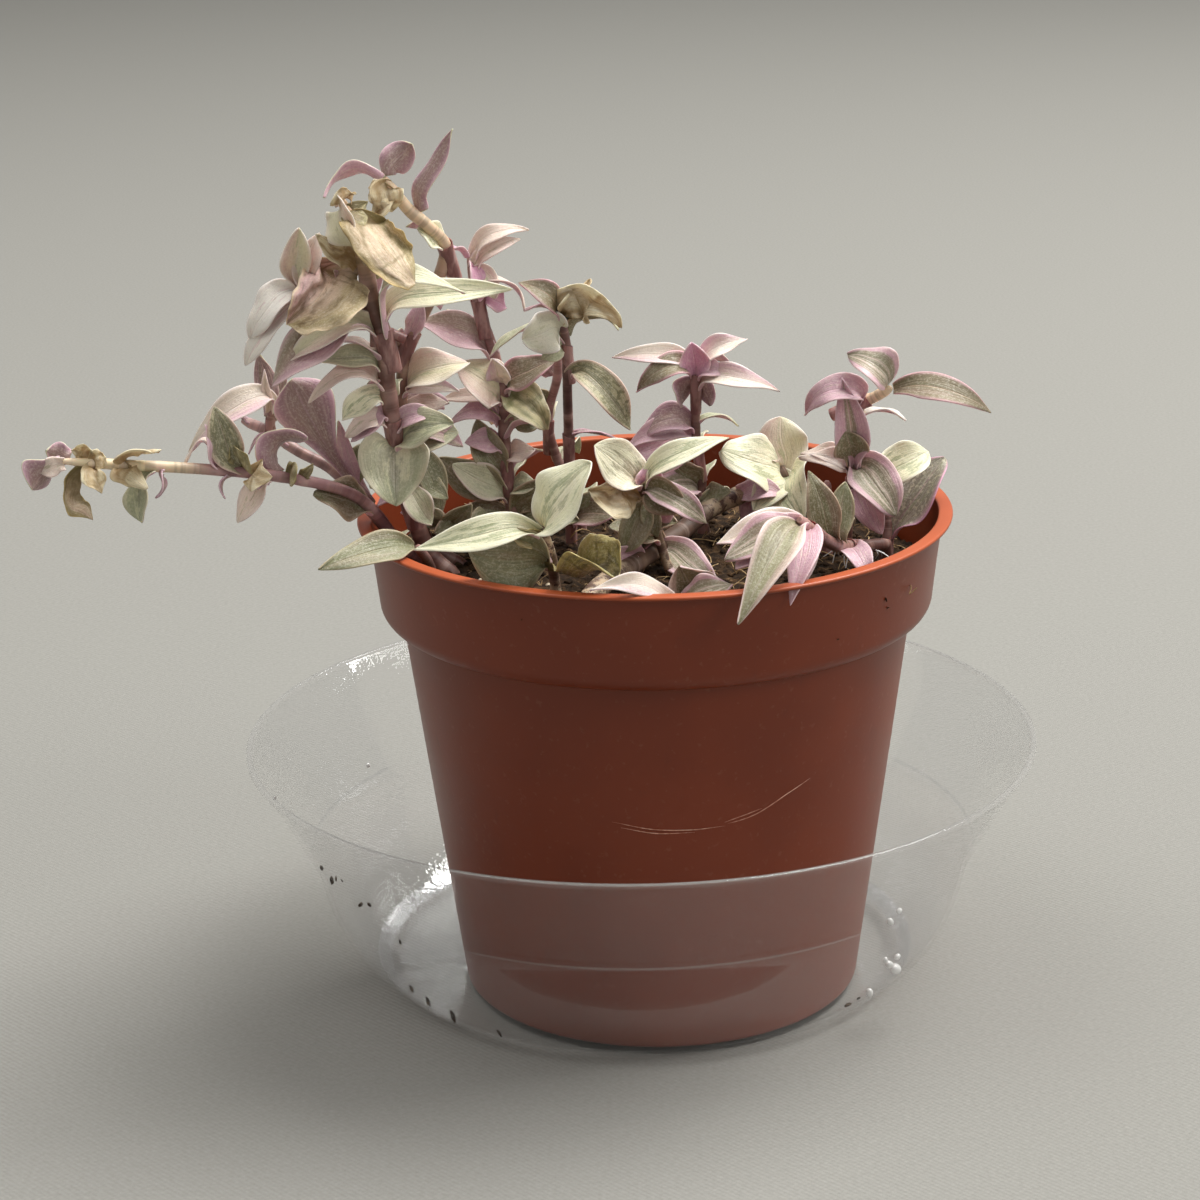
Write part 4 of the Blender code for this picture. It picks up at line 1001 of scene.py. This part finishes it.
def make_bits(name, finish, slot, wall, axis, rows, flat=0.4, rugged=0.9):
    """Small flattened bits stuck on a lathed wall."""
    deselect()
    bpy.ops.mesh.primitive_ico_sphere_add(subdivisions=3, radius=1 * MM)
    lump = bpy.context.object
    for vertex in lump.data.vertices:
        vertex.co *= 1 + rugged * noise.noise(vertex.co * 900)
        vertex.co.x *= flat
    lump.data.materials.append(finish)
    pieces = []
    for degrees, height, size in rows:
        spot = (on_wall(wall, degrees, height) + axis) * MM
        turn = Matrix.Rotation(math.radians(degrees), 4, "Z") @ Matrix.Rotation(height, 4, "X")
        shape = Matrix.Diagonal((size, size, size * flat, 1))
        pieces.append(add_copy(lump, name, Matrix.Translation(spot) @ turn @ shape))
    remove(lump)
    keep(smooth(join(pieces, name), 50), slot)


def make_marks():
    """Bits of compost and beads of water, painted white for their glints, on the walls, and
    hairline scratches on the pot.
    """
    dish_axis = Vector((0, 0, 0))
    bit = compost_finish("stuck_compost")
    make_bits("saucer_bits", bit, "soil", SAUCER_WALL, dish_axis, SAUCER_BITS)
    make_bits("collar_bits", bit, "soil", COLLAR_WALL, POT_AXIS, COLLAR_BITS)
    # The beads' white finish is a painted glint.
    make_bits("water_beads", glint_bead_finish(), "saucer", SAUCER_WALL, dish_axis, WATER_BEADS, 0.75,
              0.1)
    finish = two_tone_finish("scratched_plastic", 0.8, 2, (0.3, srgb(176, 112, 88)),
                             (0.7, srgb(226, 180, 158)), 0.5)
    lines = []
    for route in SCRATCHES:
        line = smooth_line([on_wall(BODY_WALL, *spot) + POT_AXIS for spot in route], 8)
        thin = [0.10 * math.sin(math.pi * (i + 0.4) / len(line)) + 0.01 for i in range(len(line))]
        lines.append(tube("scratch", line, thin, 4))
        lines[-1].data.materials.append(finish)
    keep(join(lines, "pot_scratches"), "pot")


def compost_height(x, y):
    """The compost's top, from the pot's axis: lumpy, and lower at the back right."""
    fall = max(0.0, (x + y - 20.0) / 60.0)
    lumps = noise.noise(Vector((x, y, 3.0)) / 9.0) + 0.5 * noise.noise(Vector((x, y, 8.0)) / 4.0)
    return COMPOST_LEVEL - 3.0 * fall + 0.8 * lumps


def make_compost():
    """The plug of compost, whose top is a fine net of rings raised into lumps and crumbs."""
    top = [(0.8 * i, COMPOST_LEVEL) for i in range(68)]
    side = [(0, 5), (38, 5), (50, 79), (53.9, 85), (54.6, COMPOST_EDGE)]
    plug = lathe("compost_plug", side + top[::-1], 240)
    for vertex in plug.data.vertices:
        x, y = vertex.co.x / MM - POT_AXIS.x, vertex.co.y / MM - POT_AXIS.y
        if vertex.co.z > (COMPOST_EDGE - 1) * MM:
            crumb = 0.7 * noise.noise(Vector((x, y, 5.0)) / 1.7)
            crumb += 0.35 * noise.noise(Vector((x, y, 15.0)) / 1.1)
            vertex.co.z = (compost_height(x, y) + crumb) * MM
    plug.data.materials.append(compost_finish())
    keep(smooth(plug, 80), "soil", "soil")


def scatter_on_compost(pattern, name, count, low, high, draws, lift=0.2):
    """Copies of a small shape, turned at random and laid over the compost."""
    pieces = []
    for _ in range(count):
        radius, angle = STREWN_RADIUS * math.sqrt(draws.random()), draws.uniform(0, math.tau)
        x, y = radius * math.cos(angle), radius * math.sin(angle)
        size = draws.uniform(low, high)
        turn = Matrix.Rotation(draws.uniform(0, math.tau), 4, "Z")
        tilt = Matrix.Rotation(draws.uniform(-0.6, 0.6), 4, "X")
        spot = (Vector((x, y, compost_height(x, y) + lift * size)) + POT_AXIS) * MM
        place = Matrix.Translation(spot) @ turn @ tilt @ Matrix.Scale(size, 4)
        pieces.append(add_copy(pattern, name, place))
    return join(pieces, name)


def make_crumbs():
    """Crumbs of compost, a few pale grains and dry fibres strewn over the top."""
    draws = random.Random(SEED)
    deselect()
    bpy.ops.mesh.primitive_ico_sphere_add(subdivisions=2, radius=1 * MM)
    lump = bpy.context.object
    for vertex in lump.data.vertices:
        vertex.co *= 1 + 0.5 * noise.noise(vertex.co * 900)
        vertex.co.z *= 0.7
    lump.data.materials.append(compost_finish("compost_crumb"))
    crumbs = scatter_on_compost(lump, "compost_crumbs", 1300, 0.2, 0.95, draws)
    keep(smooth(crumbs, 50), "soil", "soil")
    lump.data.materials.clear()
    lump.data.materials.append(two_tone_finish("pale_grain", 0.8, 2, (0.3, srgb(176, 158, 128)),
                                               (0.7, srgb(226, 214, 190)), 0.8))
    keep(scatter_on_compost(lump, "pale_grains", 60, 0.15, 0.5, draws, 0.5), "soil", "soil")
    strand = tube("strand", [Vector((6 * math.sin(0.3 * i), 1.6 * math.sin(0.8 * i) + 0.8 * i,
                                     0.8 * math.sin(0.9 * i))) for i in range(8)],
                  [0.12] * 8, 4)
    strand.data.materials.append(two_tone_finish("fibre", 0.2, 2, (0.35, srgb(122, 94, 60)),
                                                 (0.65, srgb(204, 174, 126)), 0.85))
    fibres = scatter_on_compost(strand, "compost_fibres", 230, 0.25, 1.0, draws, 0.7)
    remove(lump, strand)
    keep(fibres, "soil", "soil")


def make_roots():
    """Pale air roots where the lying shoot and the woody runner touch the compost."""
    draws = random.Random(SEED + 1)
    roots = []
    for spot in ROOT_SPOTS:
        for _ in range(ROOTS_AT_A_SPOT):
            heading = Vector((draws.uniform(-1, 1), draws.uniform(-1, 0.4), -0.35))
            bend = Vector((draws.uniform(-1, 1), draws.uniform(-1, 1), draws.uniform(0, 1)))
            route = [Vector(spot) + heading * 1.9 * k + bend * 0.9 * math.sin(1.1 * k)
                     for k in range(4)]
            line = smooth_line(route, 5)
            roots.append(tube("root", [point + POT_AXIS for point in line],
                              [0.19 - 0.13 * k / len(line) for k in range(len(line))], 6))
    roots[0].data.materials.append(two_tone_finish("air_root", 0.7, 3, (0.35, srgb(140, 112, 88)),
                                                   (0.6, srgb(206, 182, 160)), 0.7))
    keep(smooth(join(roots, "air_roots"), 60), "stem_brown")


# ---------------------------------------------------------------------------------------------
# Stems
# ---------------------------------------------------------------------------------------------


def smooth_line(route, steps):
    """Points on a smooth curve through a route's own points."""
    points = [Vector(p) for p in route]
    points = [2 * points[0] - points[1], *points, 2 * points[-1] - points[-2]]
    line = []
    for a, b, c, d in zip(points, points[1:], points[2:], points[3:]):
        for k in range(steps):
            t = k / steps
            line.append(0.5 * (2 * b + (c - a) * t + (2 * a - 5 * b + 4 * c - d) * t * t
                               + (3 * b - a - 3 * c + d) * t ** 3))
    line.append(points[-2])
    return line


def point_at(line, share):
    """The point a share of the way along a line, and the line's direction there."""
    lengths = [(b - a).length for a, b in zip(line, line[1:])]
    left = share * sum(lengths)
    for a, b, length in zip(line, line[1:], lengths):
        if left <= length:
            return a.lerp(b, left / length), (b - a).normalized()
        left -= length
    return line[-1].copy(), (line[-1] - line[-2]).normalized()


def tube(name, line, radii, sides):
    """A closed tube along a line in millimetres, with a radius for each point and an even number
    of sides, four or more."""
    curve = bpy.data.curves.new(name, "CURVE")
    curve.dimensions = "3D"
    curve.bevel_depth = MM
    curve.bevel_resolution = (sides - 4) // 2
    curve.use_fill_caps = True
    spline = curve.splines.new("POLY")
    spline.points.add(len(line) - 1)
    for target, point, radius in zip(spline.points, line, radii):
        target.co = (*(point * MM), 1.0)
        target.radius = radius
    activate(add_object(name, curve))
    bpy.ops.object.convert(target="MESH")
    return bpy.context.object


def write_attribute(mesh, name, values):
    layer = mesh.attributes.new(name, "FLOAT", "POINT")
    layer.data.foreach_set("value", values)


# How far a joint's swelling runs along the stem, and how deep a shoot's foot is buried.
SWELLING_REACH, BURIED = 1.8, 4


def joints_of(stem, gap=0.05):
    """Shares along a stem at which leaves grow, each only once."""
    found = []
    for row in sorted(LEAVES.get(stem, ()), key=lambda row: row[1]):
        if not found or row[1] - found[-1] > gap:
            found.append(row[1])
    return found


def make_stem(name, radius, finish, route):
    """A tapering stem that swells at its joints, and the smooth line that it follows."""
    line = smooth_line(route, 10)
    shares = [i / (len(line) - 1) for i in range(len(line))]
    joints = [point_at(line, share)[0] for share in joints_of(name)]

    def swelling(point):
        return max([0.0, *[1 - (point - joint).length / SWELLING_REACH for joint in joints]])

    def thinning(share):
        """A shoot thins over its last tenth, unless it is old wood."""
        return 1.0 - 0.55 * max(0.0, (share - 0.9) / 0.1) ** 2 if finish != "woody" else 1.0

    taper = [radius * (1.06 - 0.16 * share + 0.07 * swelling(point)) * thinning(share)
             for share, point in zip(shares, line)]
    buried = [line[0] - Vector((0, 0, BURIED)), *line]
    stem = tube(f"{name}_stem", [p + POT_AXIS for p in buried], [taper[0], *taper], 12)
    places = [vertex.co / MM - POT_AXIS for vertex in stem.data.vertices]
    nearest = [min(range(len(line)), key=lambda i: (line[i] - p).length_squared) for p in places]
    write_attribute(stem.data, "share", [shares[i] for i in nearest])
    write_attribute(stem.data, "ring", [min(1.0, 1.6 * swelling(line[i])) for i in nearest])
    stem.data.materials.append(BARKS[finish])
    node = f"stem_{STEM_NODES.get(name, name)}"
    slot = "stem_brown" if finish == "woody" else "stem_purple"
    keep(smooth(stem, 60), slot, node)
    return line


# ---------------------------------------------------------------------------------------------
# Leaves
# ---------------------------------------------------------------------------------------------

COLUMNS, ROWS = 8, 18
# The narrowest dry leaf that needs the finer blade for its folds, in millimetres.
FINE_FROM = 7
LEAF_THICKNESS, DRY_THICKNESS = 0.38, 0.2
# The narrowest that a blade gets, as a share of its full half width, so that it can be widened.
NARROWEST = 1e-4
# Shares of a blade's length, from its base: over the first it reaches round the stem, over the
# second it is rolled round it, and over the third its middle crease deepens.
CLASP_SHARE, ROLL_SHARE, FOLD_SHARE = 0.2, 0.24, 0.25
# A dry blade has creases along it and a few over it.  Millimetres: how far apart their bends lie,
# and how wide the painted shade along a crease is.
LONG_CREASES, CROSS_CREASES = 8, 4
CREASE_WANDER, CREASE_SHADE_WIDTH = 3.5, 0.5
# How far out each outline's widest place sits, and how full it is.
OUTLINES = {"lance": (0.74, 0.95), "oval": (0.85, 0.78), "spoon": (1.3, 0.8), "heart": (0.62, 0.66),
            "round": (0.92, 0.56), "paddle": (3.2, 0.85)}


def half_width(outline, t):
    """How wide an outline is at a share of the blade's length, as a share of its widest."""
    bias, fullness = OUTLINES[outline]
    return math.sin(math.pi * min(1.0, t) ** bias) ** fullness + 0.2 * (1 - t) ** 3


def make_pattern(outline):
    """A flat blade: a grid whose rows are drawn in to the leaf's outline."""
    deselect()
    bpy.ops.mesh.primitive_grid_add(x_subdivisions=COLUMNS, y_subdivisions=ROWS, size=2)
    pattern = bpy.context.object
    pattern.name = f"pattern_{outline}"
    pattern.data.uv_layers[0].name = "blade"
    bpy.ops.object.mode_set(mode="EDIT")
    bpy.ops.mesh.select_all(action="DESELECT")
    bpy.ops.object.mode_set(mode="OBJECT")
    for i in range(ROWS + 1):
        y = -1 + 2 * i / ROWS
        for vertex in pattern.data.vertices:
            vertex.select = abs(vertex.co.y - y) < 1e-4
        bpy.ops.object.mode_set(mode="EDIT")
        width = max(half_width(outline, i / ROWS), NARROWEST)
        bpy.ops.transform.resize(value=(width, 1, 1), center_override=(0, y, 0))
        bpy.ops.mesh.select_all(action="DESELECT")
        bpy.ops.object.mode_set(mode="OBJECT")
    return pattern


def make_fine(pattern):
    """The same blade with twice the points each way, for dry leaves that crumple."""
    fine = add_copy(pattern, f"{pattern.name}_fine", Matrix())
    edit_all(fine)
    bpy.ops.mesh.subdivide(number_cuts=1)
    bpy.ops.object.mode_set(mode="OBJECT")
    return fine


def soft_step(value):
    value = min(1.0, max(0.0, value))
    return value * value * (3 - 2 * value)


def across_blade(distance, curl):
    """Where a point of a blade lies when the blade is rolled to a curvature: sideways and up."""
    if abs(curl) < 1e-3:
        return distance, 0.0
    return math.sin(curl * distance) / curl, (1 - math.cos(curl * distance)) / curl


def crease_lines(draws, width, length):
    """The creases of a dry blade, most along it and a few over it, bending it up and down by turns.
    Each is a direction, an offset from the blade's middle and a slope, all in millimetres."""
    creases = []
    for i in range(LONG_CREASES + CROSS_CREASES):
        if i < LONG_CREASES:
            angle, reach, slope = draws.uniform(-0.22, 0.22), width, 0.75
        else:
            angle = draws.choice((-1, 1)) * draws.uniform(1, 1.4)
            reach, slope = length, 0.3
        offset = draws.uniform(-0.42, 0.42) * reach
        creases.append((math.cos(angle), math.sin(angle), offset, slope if i % 2 else -slope))
    return creases


def crumpled(distance, y, side, length, creases, seed):
    """What crumpling does to a point of a dry blade: how far up and sideways the point goes, in
    millimetres, and how near it is to the trough of a crease, from 0 to 1, which sets its painted
    shade."""
    up, crease_shade = 0.0, 0.0
    wandering = noise.noise(Vector((distance, y, 0)) / CREASE_WANDER + Vector((0, 0, 3.1 * seed)))
    bent = distance + 1.3 * wandering
    for right, ahead, offset, slope in creases:
        off = abs(bent * right + (y - 0.5 * length) * ahead - offset)
        up += slope * off * soft_step(y / length / CLASP_SHARE)
        # Painted shade runs along each crease whose line is a trough.
        if slope > 0:
            crease_shade = max(crease_shade, 1 - off / CREASE_SHADE_WIDTH)
    up += 0.5 * noise.noise(Vector((distance / 1.6, y / 2.2, 7.3 * seed)))
    sideways = 0.9 * side * noise.noise(Vector((y / 1.7, 9 * seed, 4 * side)))
    return up, sideways, crease_shade


def lay_blade(pattern, name, outline, radius, start, tip, arch, width, facing, along, seed,
              shaping):
    """A copy of a flat blade laid along an arched midrib.  Its base clasps the stem, its middle is
    creased and its edges have soft waves; a dry one is crumpled."""
    draws = random.Random(seed)
    crumple = shaping["crumple"]
    twist = math.radians(shaping.get("twist", draws.uniform(-16, 16)))
    wave = shaping.get("wave", draws.uniform(0.04, 0.12)) * width
    fold = shaping.get("fold", draws.uniform(0.10, 0.26))
    cup = shaping.get("cup", draws.uniform(0.4, 1.0))
    sway = draws.uniform(-0.05, 0.05)
    hook = shaping.get("hook", draws.uniform(0.0, 0.06))
    clasp = shaping.get("clasp", 1.0)
    phase = draws.uniform(0, math.tau)
    reach = tip - start
    length = reach.length
    creases = crease_lines(draws, width, length) if crumple else ()
    face = sum((FACING[letter] for letter in facing), Vector())
    face = (face - face.dot(reach.normalized()) * reach.normalized()).normalized()
    aside = reach.normalized().cross(face)

    def middle(t):
        point = start + reach * t + face * arch * 4 * t * (1 - t)
        point += aside * length * sway * math.sin(math.pi * t)
        point += face * length * hook * (math.sin(math.pi * t) - 3 * max(0.0, t - 0.8))
        return point + along * length * clasp * (1.1 * t * (1 - t) ** 5 - 0.05 * (1 - t) ** 6)

    mesh = pattern.data.copy()
    crease_shades = []
    for vertex in mesh.vertices:
        t = (vertex.co.y + 1) / 2
        flat = max(half_width(outline, t), NARROWEST)
        side = vertex.co.x / flat
        half = 0.5 * width * flat
        hold = 1.5 * radius * clasp * (1 - soft_step(t / CLASP_SHARE))
        distance = side * math.hypot(half, hold)
        curl = clasp * (1 - soft_step(t / ROLL_SHARE)) / (1.1 * radius) + cup / width
        sideways, up = across_blade(distance, curl)
        heading = (middle(t + 0.01) - middle(t - 0.01)).normalized()
        edge = heading.cross(face).normalized()
        lift = edge.cross(heading).normalized()
        turn = Matrix.Rotation(twist * t, 3, heading)
        edge, lift = turn @ edge, turn @ lift
        up += fold * soft_step(t / FOLD_SHARE) * abs(sideways)
        up += wave * side * side * math.sin(9 * t + phase + (1.9 if side > 0 else 0))
        crease_shade = 0.0
        if crumple:
            rise, push, crease_shade = crumpled(distance, t * length, side, length, creases, seed)
            up += crumple * rise
            sideways += crumple * push
        crease_shades.append(crease_shade)
        vertex.co = (middle(t) + edge * sideways + lift * up + POT_AXIS) * MM
    write_attribute(mesh, "seed", [draws.random()] * len(mesh.vertices))
    # The fold attribute carries the painted shade of a dry blade's creases.
    write_attribute(mesh, "fold", crease_shades)
    return add_object(name, mesh)


def leaf_sides(look, facing):
    """Finishes of a leaf's upper side and underside.  The look is that of the side in front."""
    if look in DRIED:
        return look, look
    if "B" in facing:
        return "sage", look
    return look, look if look in PURPLE else "mauve"


def thicken_leaf(leaf, thickness):
    """Gives a blade its thickness, with the underside's finish below, and rounds it."""
    edit_all(leaf)
    bpy.ops.mesh.remove_doubles(threshold=DOUBLES)
    bpy.ops.object.mode_set(mode="OBJECT")
    wall = leaf.modifiers.new("wall", "SOLIDIFY")
    wall.thickness = thickness * MM
    wall.offset = 0
    wall.material_offset = 1
    round_off = leaf.modifiers.new("round", "SUBSURF")
    round_off.levels = round_off.render_levels = 1
    apply_modifiers(leaf)
    bpy.ops.object.shade_smooth()


# The slot of each look that isn't called after its own.
SLOTS = {"white": "blush", "mint": "sage", "magenta": "mauve", "striped_plum": "plum",
         "olive_pink": "olive", "twin_olive": "olive", "slate": "olive", "speckled": "olive",
         "mottled": "sage", "half_pink": "sage", "pink_blush": "blush", "pink_cream": "cream",
         "pale_sage": "sage", "mottled_sage": "sage", "gilded": "cream", "olive_mauve": "mauve",
         "spear": "mauve", **dict.fromkeys(DRIED, "dried")}


def make_leaves(stem, radius, line, patterns, fine_patterns):
    """All the leaves of one stem: the named ones each a piece, the small ones joined by finish."""
    small = {}
    for i, row in enumerate(LEAVES[stem]):
        name, share, offset, arch, width, facing, outline, look, *more = row
        dry = look in DRIED
        shaping = {"crumple": 1.0 if dry else 0.0, **(more[0] if more else {})}
        base, along = point_at(line, share)
        reach = Vector(offset)
        # A leaf starts a little inside the stem's skin, and one at the tip may go straight on.
        outward = reach - (reach.dot(along) * along if share < 0.99 else Vector())
        start = base + outward.normalized() * 0.7 * radius
        # Each leaf has a seed of its own, so that a change to one leaves the others as they are.
        seed = sum(map(ord, stem)) + 31 * i
        title = f"{stem}_{name}" if name else f"{stem}_small_{i}"
        pattern = (fine_patterns if dry and width >= FINE_FROM else patterns)[outline]
        leaf = lay_blade(pattern, title, outline, radius, start, base + reach, arch,
                         width, facing, along, seed, shaping)
        for side in leaf_sides(look, facing):
            leaf.data.materials.append(LEAF_FINISHES[side])
        thicken_leaf(leaf, DRY_THICKNESS if dry else LEAF_THICKNESS)
        slot = SLOTS.get(look, look)
        if name:
            keep(leaf, slot, f"leaf_{LEAF_NODES.get(stem, stem)}_{name}")
        else:
            small.setdefault(slot, []).append(leaf)
    for slot, leaves in small.items():
        keep(join(leaves, f"{stem}_small_{slot}"), slot)


SHEATH_LENGTH = 8.0
# The least way between two sheaths on a stem, and the share of its length past which none grows.
SHEATH_GAP, LAST_SHEATH = 15, 0.96


def make_sheaths(stem, radius, line, pattern):
    """The thin collars that wrap a stem at its joints and open upwards."""
    pieces = []
    length = sum((b - a).length for a, b in zip(line, line[1:]))
    for share in joints_of(stem, SHEATH_GAP / length):
        if share > LAST_SHEATH:
            continue
        point, along = point_at(line, share)
        spot = (point - (SHEATH_LENGTH / 2 - 0.1) * along + POT_AXIS) * MM
        turn = along.to_track_quat("Z", "Y").to_matrix().to_4x4()
        spin = Matrix.Rotation(19 * share, 4, "Z")
        pieces.append(add_copy(pattern, "sheath", Matrix.Translation(spot) @ turn @ spin
                               @ Matrix.Diagonal((radius, radius, 1.0, 1.0))))
    if pieces:
        keep(smooth(join(pieces, f"{stem}_sheaths"), 60), "stem_purple")


def make_sheath_pattern():
    """A thin tube that hugs the stem at its foot, flares a little and is cut aslant at its top."""
    deselect()
    bpy.ops.mesh.primitive_cylinder_add(vertices=16, radius=1 * MM, depth=SHEATH_LENGTH * MM,
                                        end_fill_type="NOTHING")
    sheath = bpy.context.object
    edit_all(sheath)
    bpy.ops.mesh.subdivide(number_cuts=3)
    bpy.ops.object.mode_set(mode="OBJECT")
    for vertex in sheath.data.vertices:
        up = vertex.co.z / (SHEATH_LENGTH * MM) + 0.5
        flare = 1.02 + 0.07 * soft_step(2.5 * up) + 0.12 * up ** 8
        slant = (0.5 * vertex.co.x + 0.1 * MM) * up
        vertex.co = (vertex.co.x * flare, vertex.co.y * flare, vertex.co.z + slant)
    wall = sheath.modifiers.new("wall", "SOLIDIFY")
    wall.thickness = 0.1 * MM
    wall.offset = 1
    apply_modifiers(sheath)
    sheath.data.materials.append(sheath_finish())
    return sheath


def make_plant():
    """Every shoot with its leaves and, unless its bark is bare, its sheaths."""
    patterns = {outline: make_pattern(outline) for outline in OUTLINES}
    fine_patterns = {outline: make_fine(pattern) for outline, pattern in patterns.items()}
    sheath = make_sheath_pattern()
    for name, radius, finish, route in STEMS:
        line = make_stem(name, radius, finish, route)
        make_leaves(name, radius, line, patterns, fine_patterns)
        if finish not in BARE_BARKS:
            make_sheaths(name, radius, line, sheath)
    remove(*patterns.values(), *fine_patterns.values(), sheath)


# ---------------------------------------------------------------------------------------------
# Stage, light and camera
# ---------------------------------------------------------------------------------------------


FLOOR_RADIUS = 6.0
# The floor lies this far under the saucer, so that their faces don't coincide.
FLOOR_DROP = 0.0002
# The cloth's waves of thread in radians for each millimetre, and where its front grows darker.
WEAVE, FRONT_SHADE = 4.2, (-60.0, -300.0)
ROOM_LIGHT = 0.42
LAMP_TARGET = Vector((0, 0, 0.08))
# Each lamp: name, place and width in metres, watts.
LAMPS = (("overhead", (0.95, 0.5, 1.9), 1.3, 69), ("front_right", (1.3, -0.8, 1.0), 0.6, 6),
         ("upper_left", (-0.9, 0.1, 1.9), 1.2, 14))
CAMERA_PLACE = (-0.0079, -0.5755, 0.264)
# How far the camera looks down and leans, in radians.
CAMERA_DOWN, CAMERA_LEAN = 0.311, -0.022
LENS, SENSOR = 87.3, 36


def make_stage():
    """A pale woven cloth laid flat under everything."""
    tree = Tree("floor_cloth")
    place = tree.object_place()
    x, y, _ = tree.parts(place)
    weft, warp = (tree.math("SINE", tree.math("MULTIPLY", way, WEAVE)) for way in (x, y))
    weave = tree.math("MULTIPLY", weft, warp)
    grain = tree.noise(place, 0.9, 3, 0.7)
    colour = tree.mix(grain, srgb(133, 132, 127), srgb(155, 154, 149))
    colour = tree.mix(tree.math("MULTIPLY_ADD", weave, 0.015, 0.015), colour, BLACK)
    colour = tree.tint(colour, BLACK, 0.06, y, *FRONT_SHADE)
    tree.bump(tree.math("MULTIPLY_ADD", weave, 0.5, grain), 0.3, 0.0003)
    floor_finish = tree.set(Base_Color=colour, Roughness=0.95, Specular_IOR_Level=0.1)
    deselect()
    bpy.ops.mesh.primitive_circle_add(vertices=96, radius=FLOOR_RADIUS, fill_type="NGON",
                                      location=(0, 0, -FLOOR_DROP))
    floor = bpy.context.object
    floor.name = "floor"
    floor.data.materials.append(floor_finish)


def make_light():
    """A broad soft lamp overhead and behind to the right, two weak ones, and a dim room."""
    world = bpy.data.worlds.new("room")
    bpy.context.scene.world = world
    world.use_nodes = True
    background = world.node_tree.nodes["Background"].inputs
    background["Color"].default_value = srgb(234, 233, 230)
    background["Strength"].default_value = ROOM_LIGHT
    for name, place, size, watts in LAMPS:
        light = bpy.data.lights.new(name, "AREA")
        light.shape = "SQUARE"
        light.size = size
        light.energy = watts
        light.color = (1.0, 0.985, 0.96)
        lamp = add_object(name, light)
        lamp.location = place
        lamp.rotation_euler = (LAMP_TARGET - lamp.location).to_track_quat("-Z", "Y").to_euler()


def make_camera():
    """The usual view of the plant: from the front and somewhat above."""
    camera_data = bpy.data.cameras.new("camera")
    camera_data.sensor_width = SENSOR
    camera_data.lens = LENS
    camera_data.clip_start = 0.01
    camera = add_object("camera", camera_data)
    camera.matrix_world = (Matrix.Translation(CAMERA_PLACE)
                           @ Matrix.Rotation(math.pi / 2 - CAMERA_DOWN, 4, "X")
                           @ Matrix.Rotation(CAMERA_LEAN, 4, "Z"))
    bpy.context.scene.camera = camera


bpy.context.scene.view_settings.view_transform = "Standard"
make_stage()
make_light()
make_camera()
make_saucer()
make_pot()
make_compost()
make_crumbs()
make_marks()
make_roots()
make_plant()
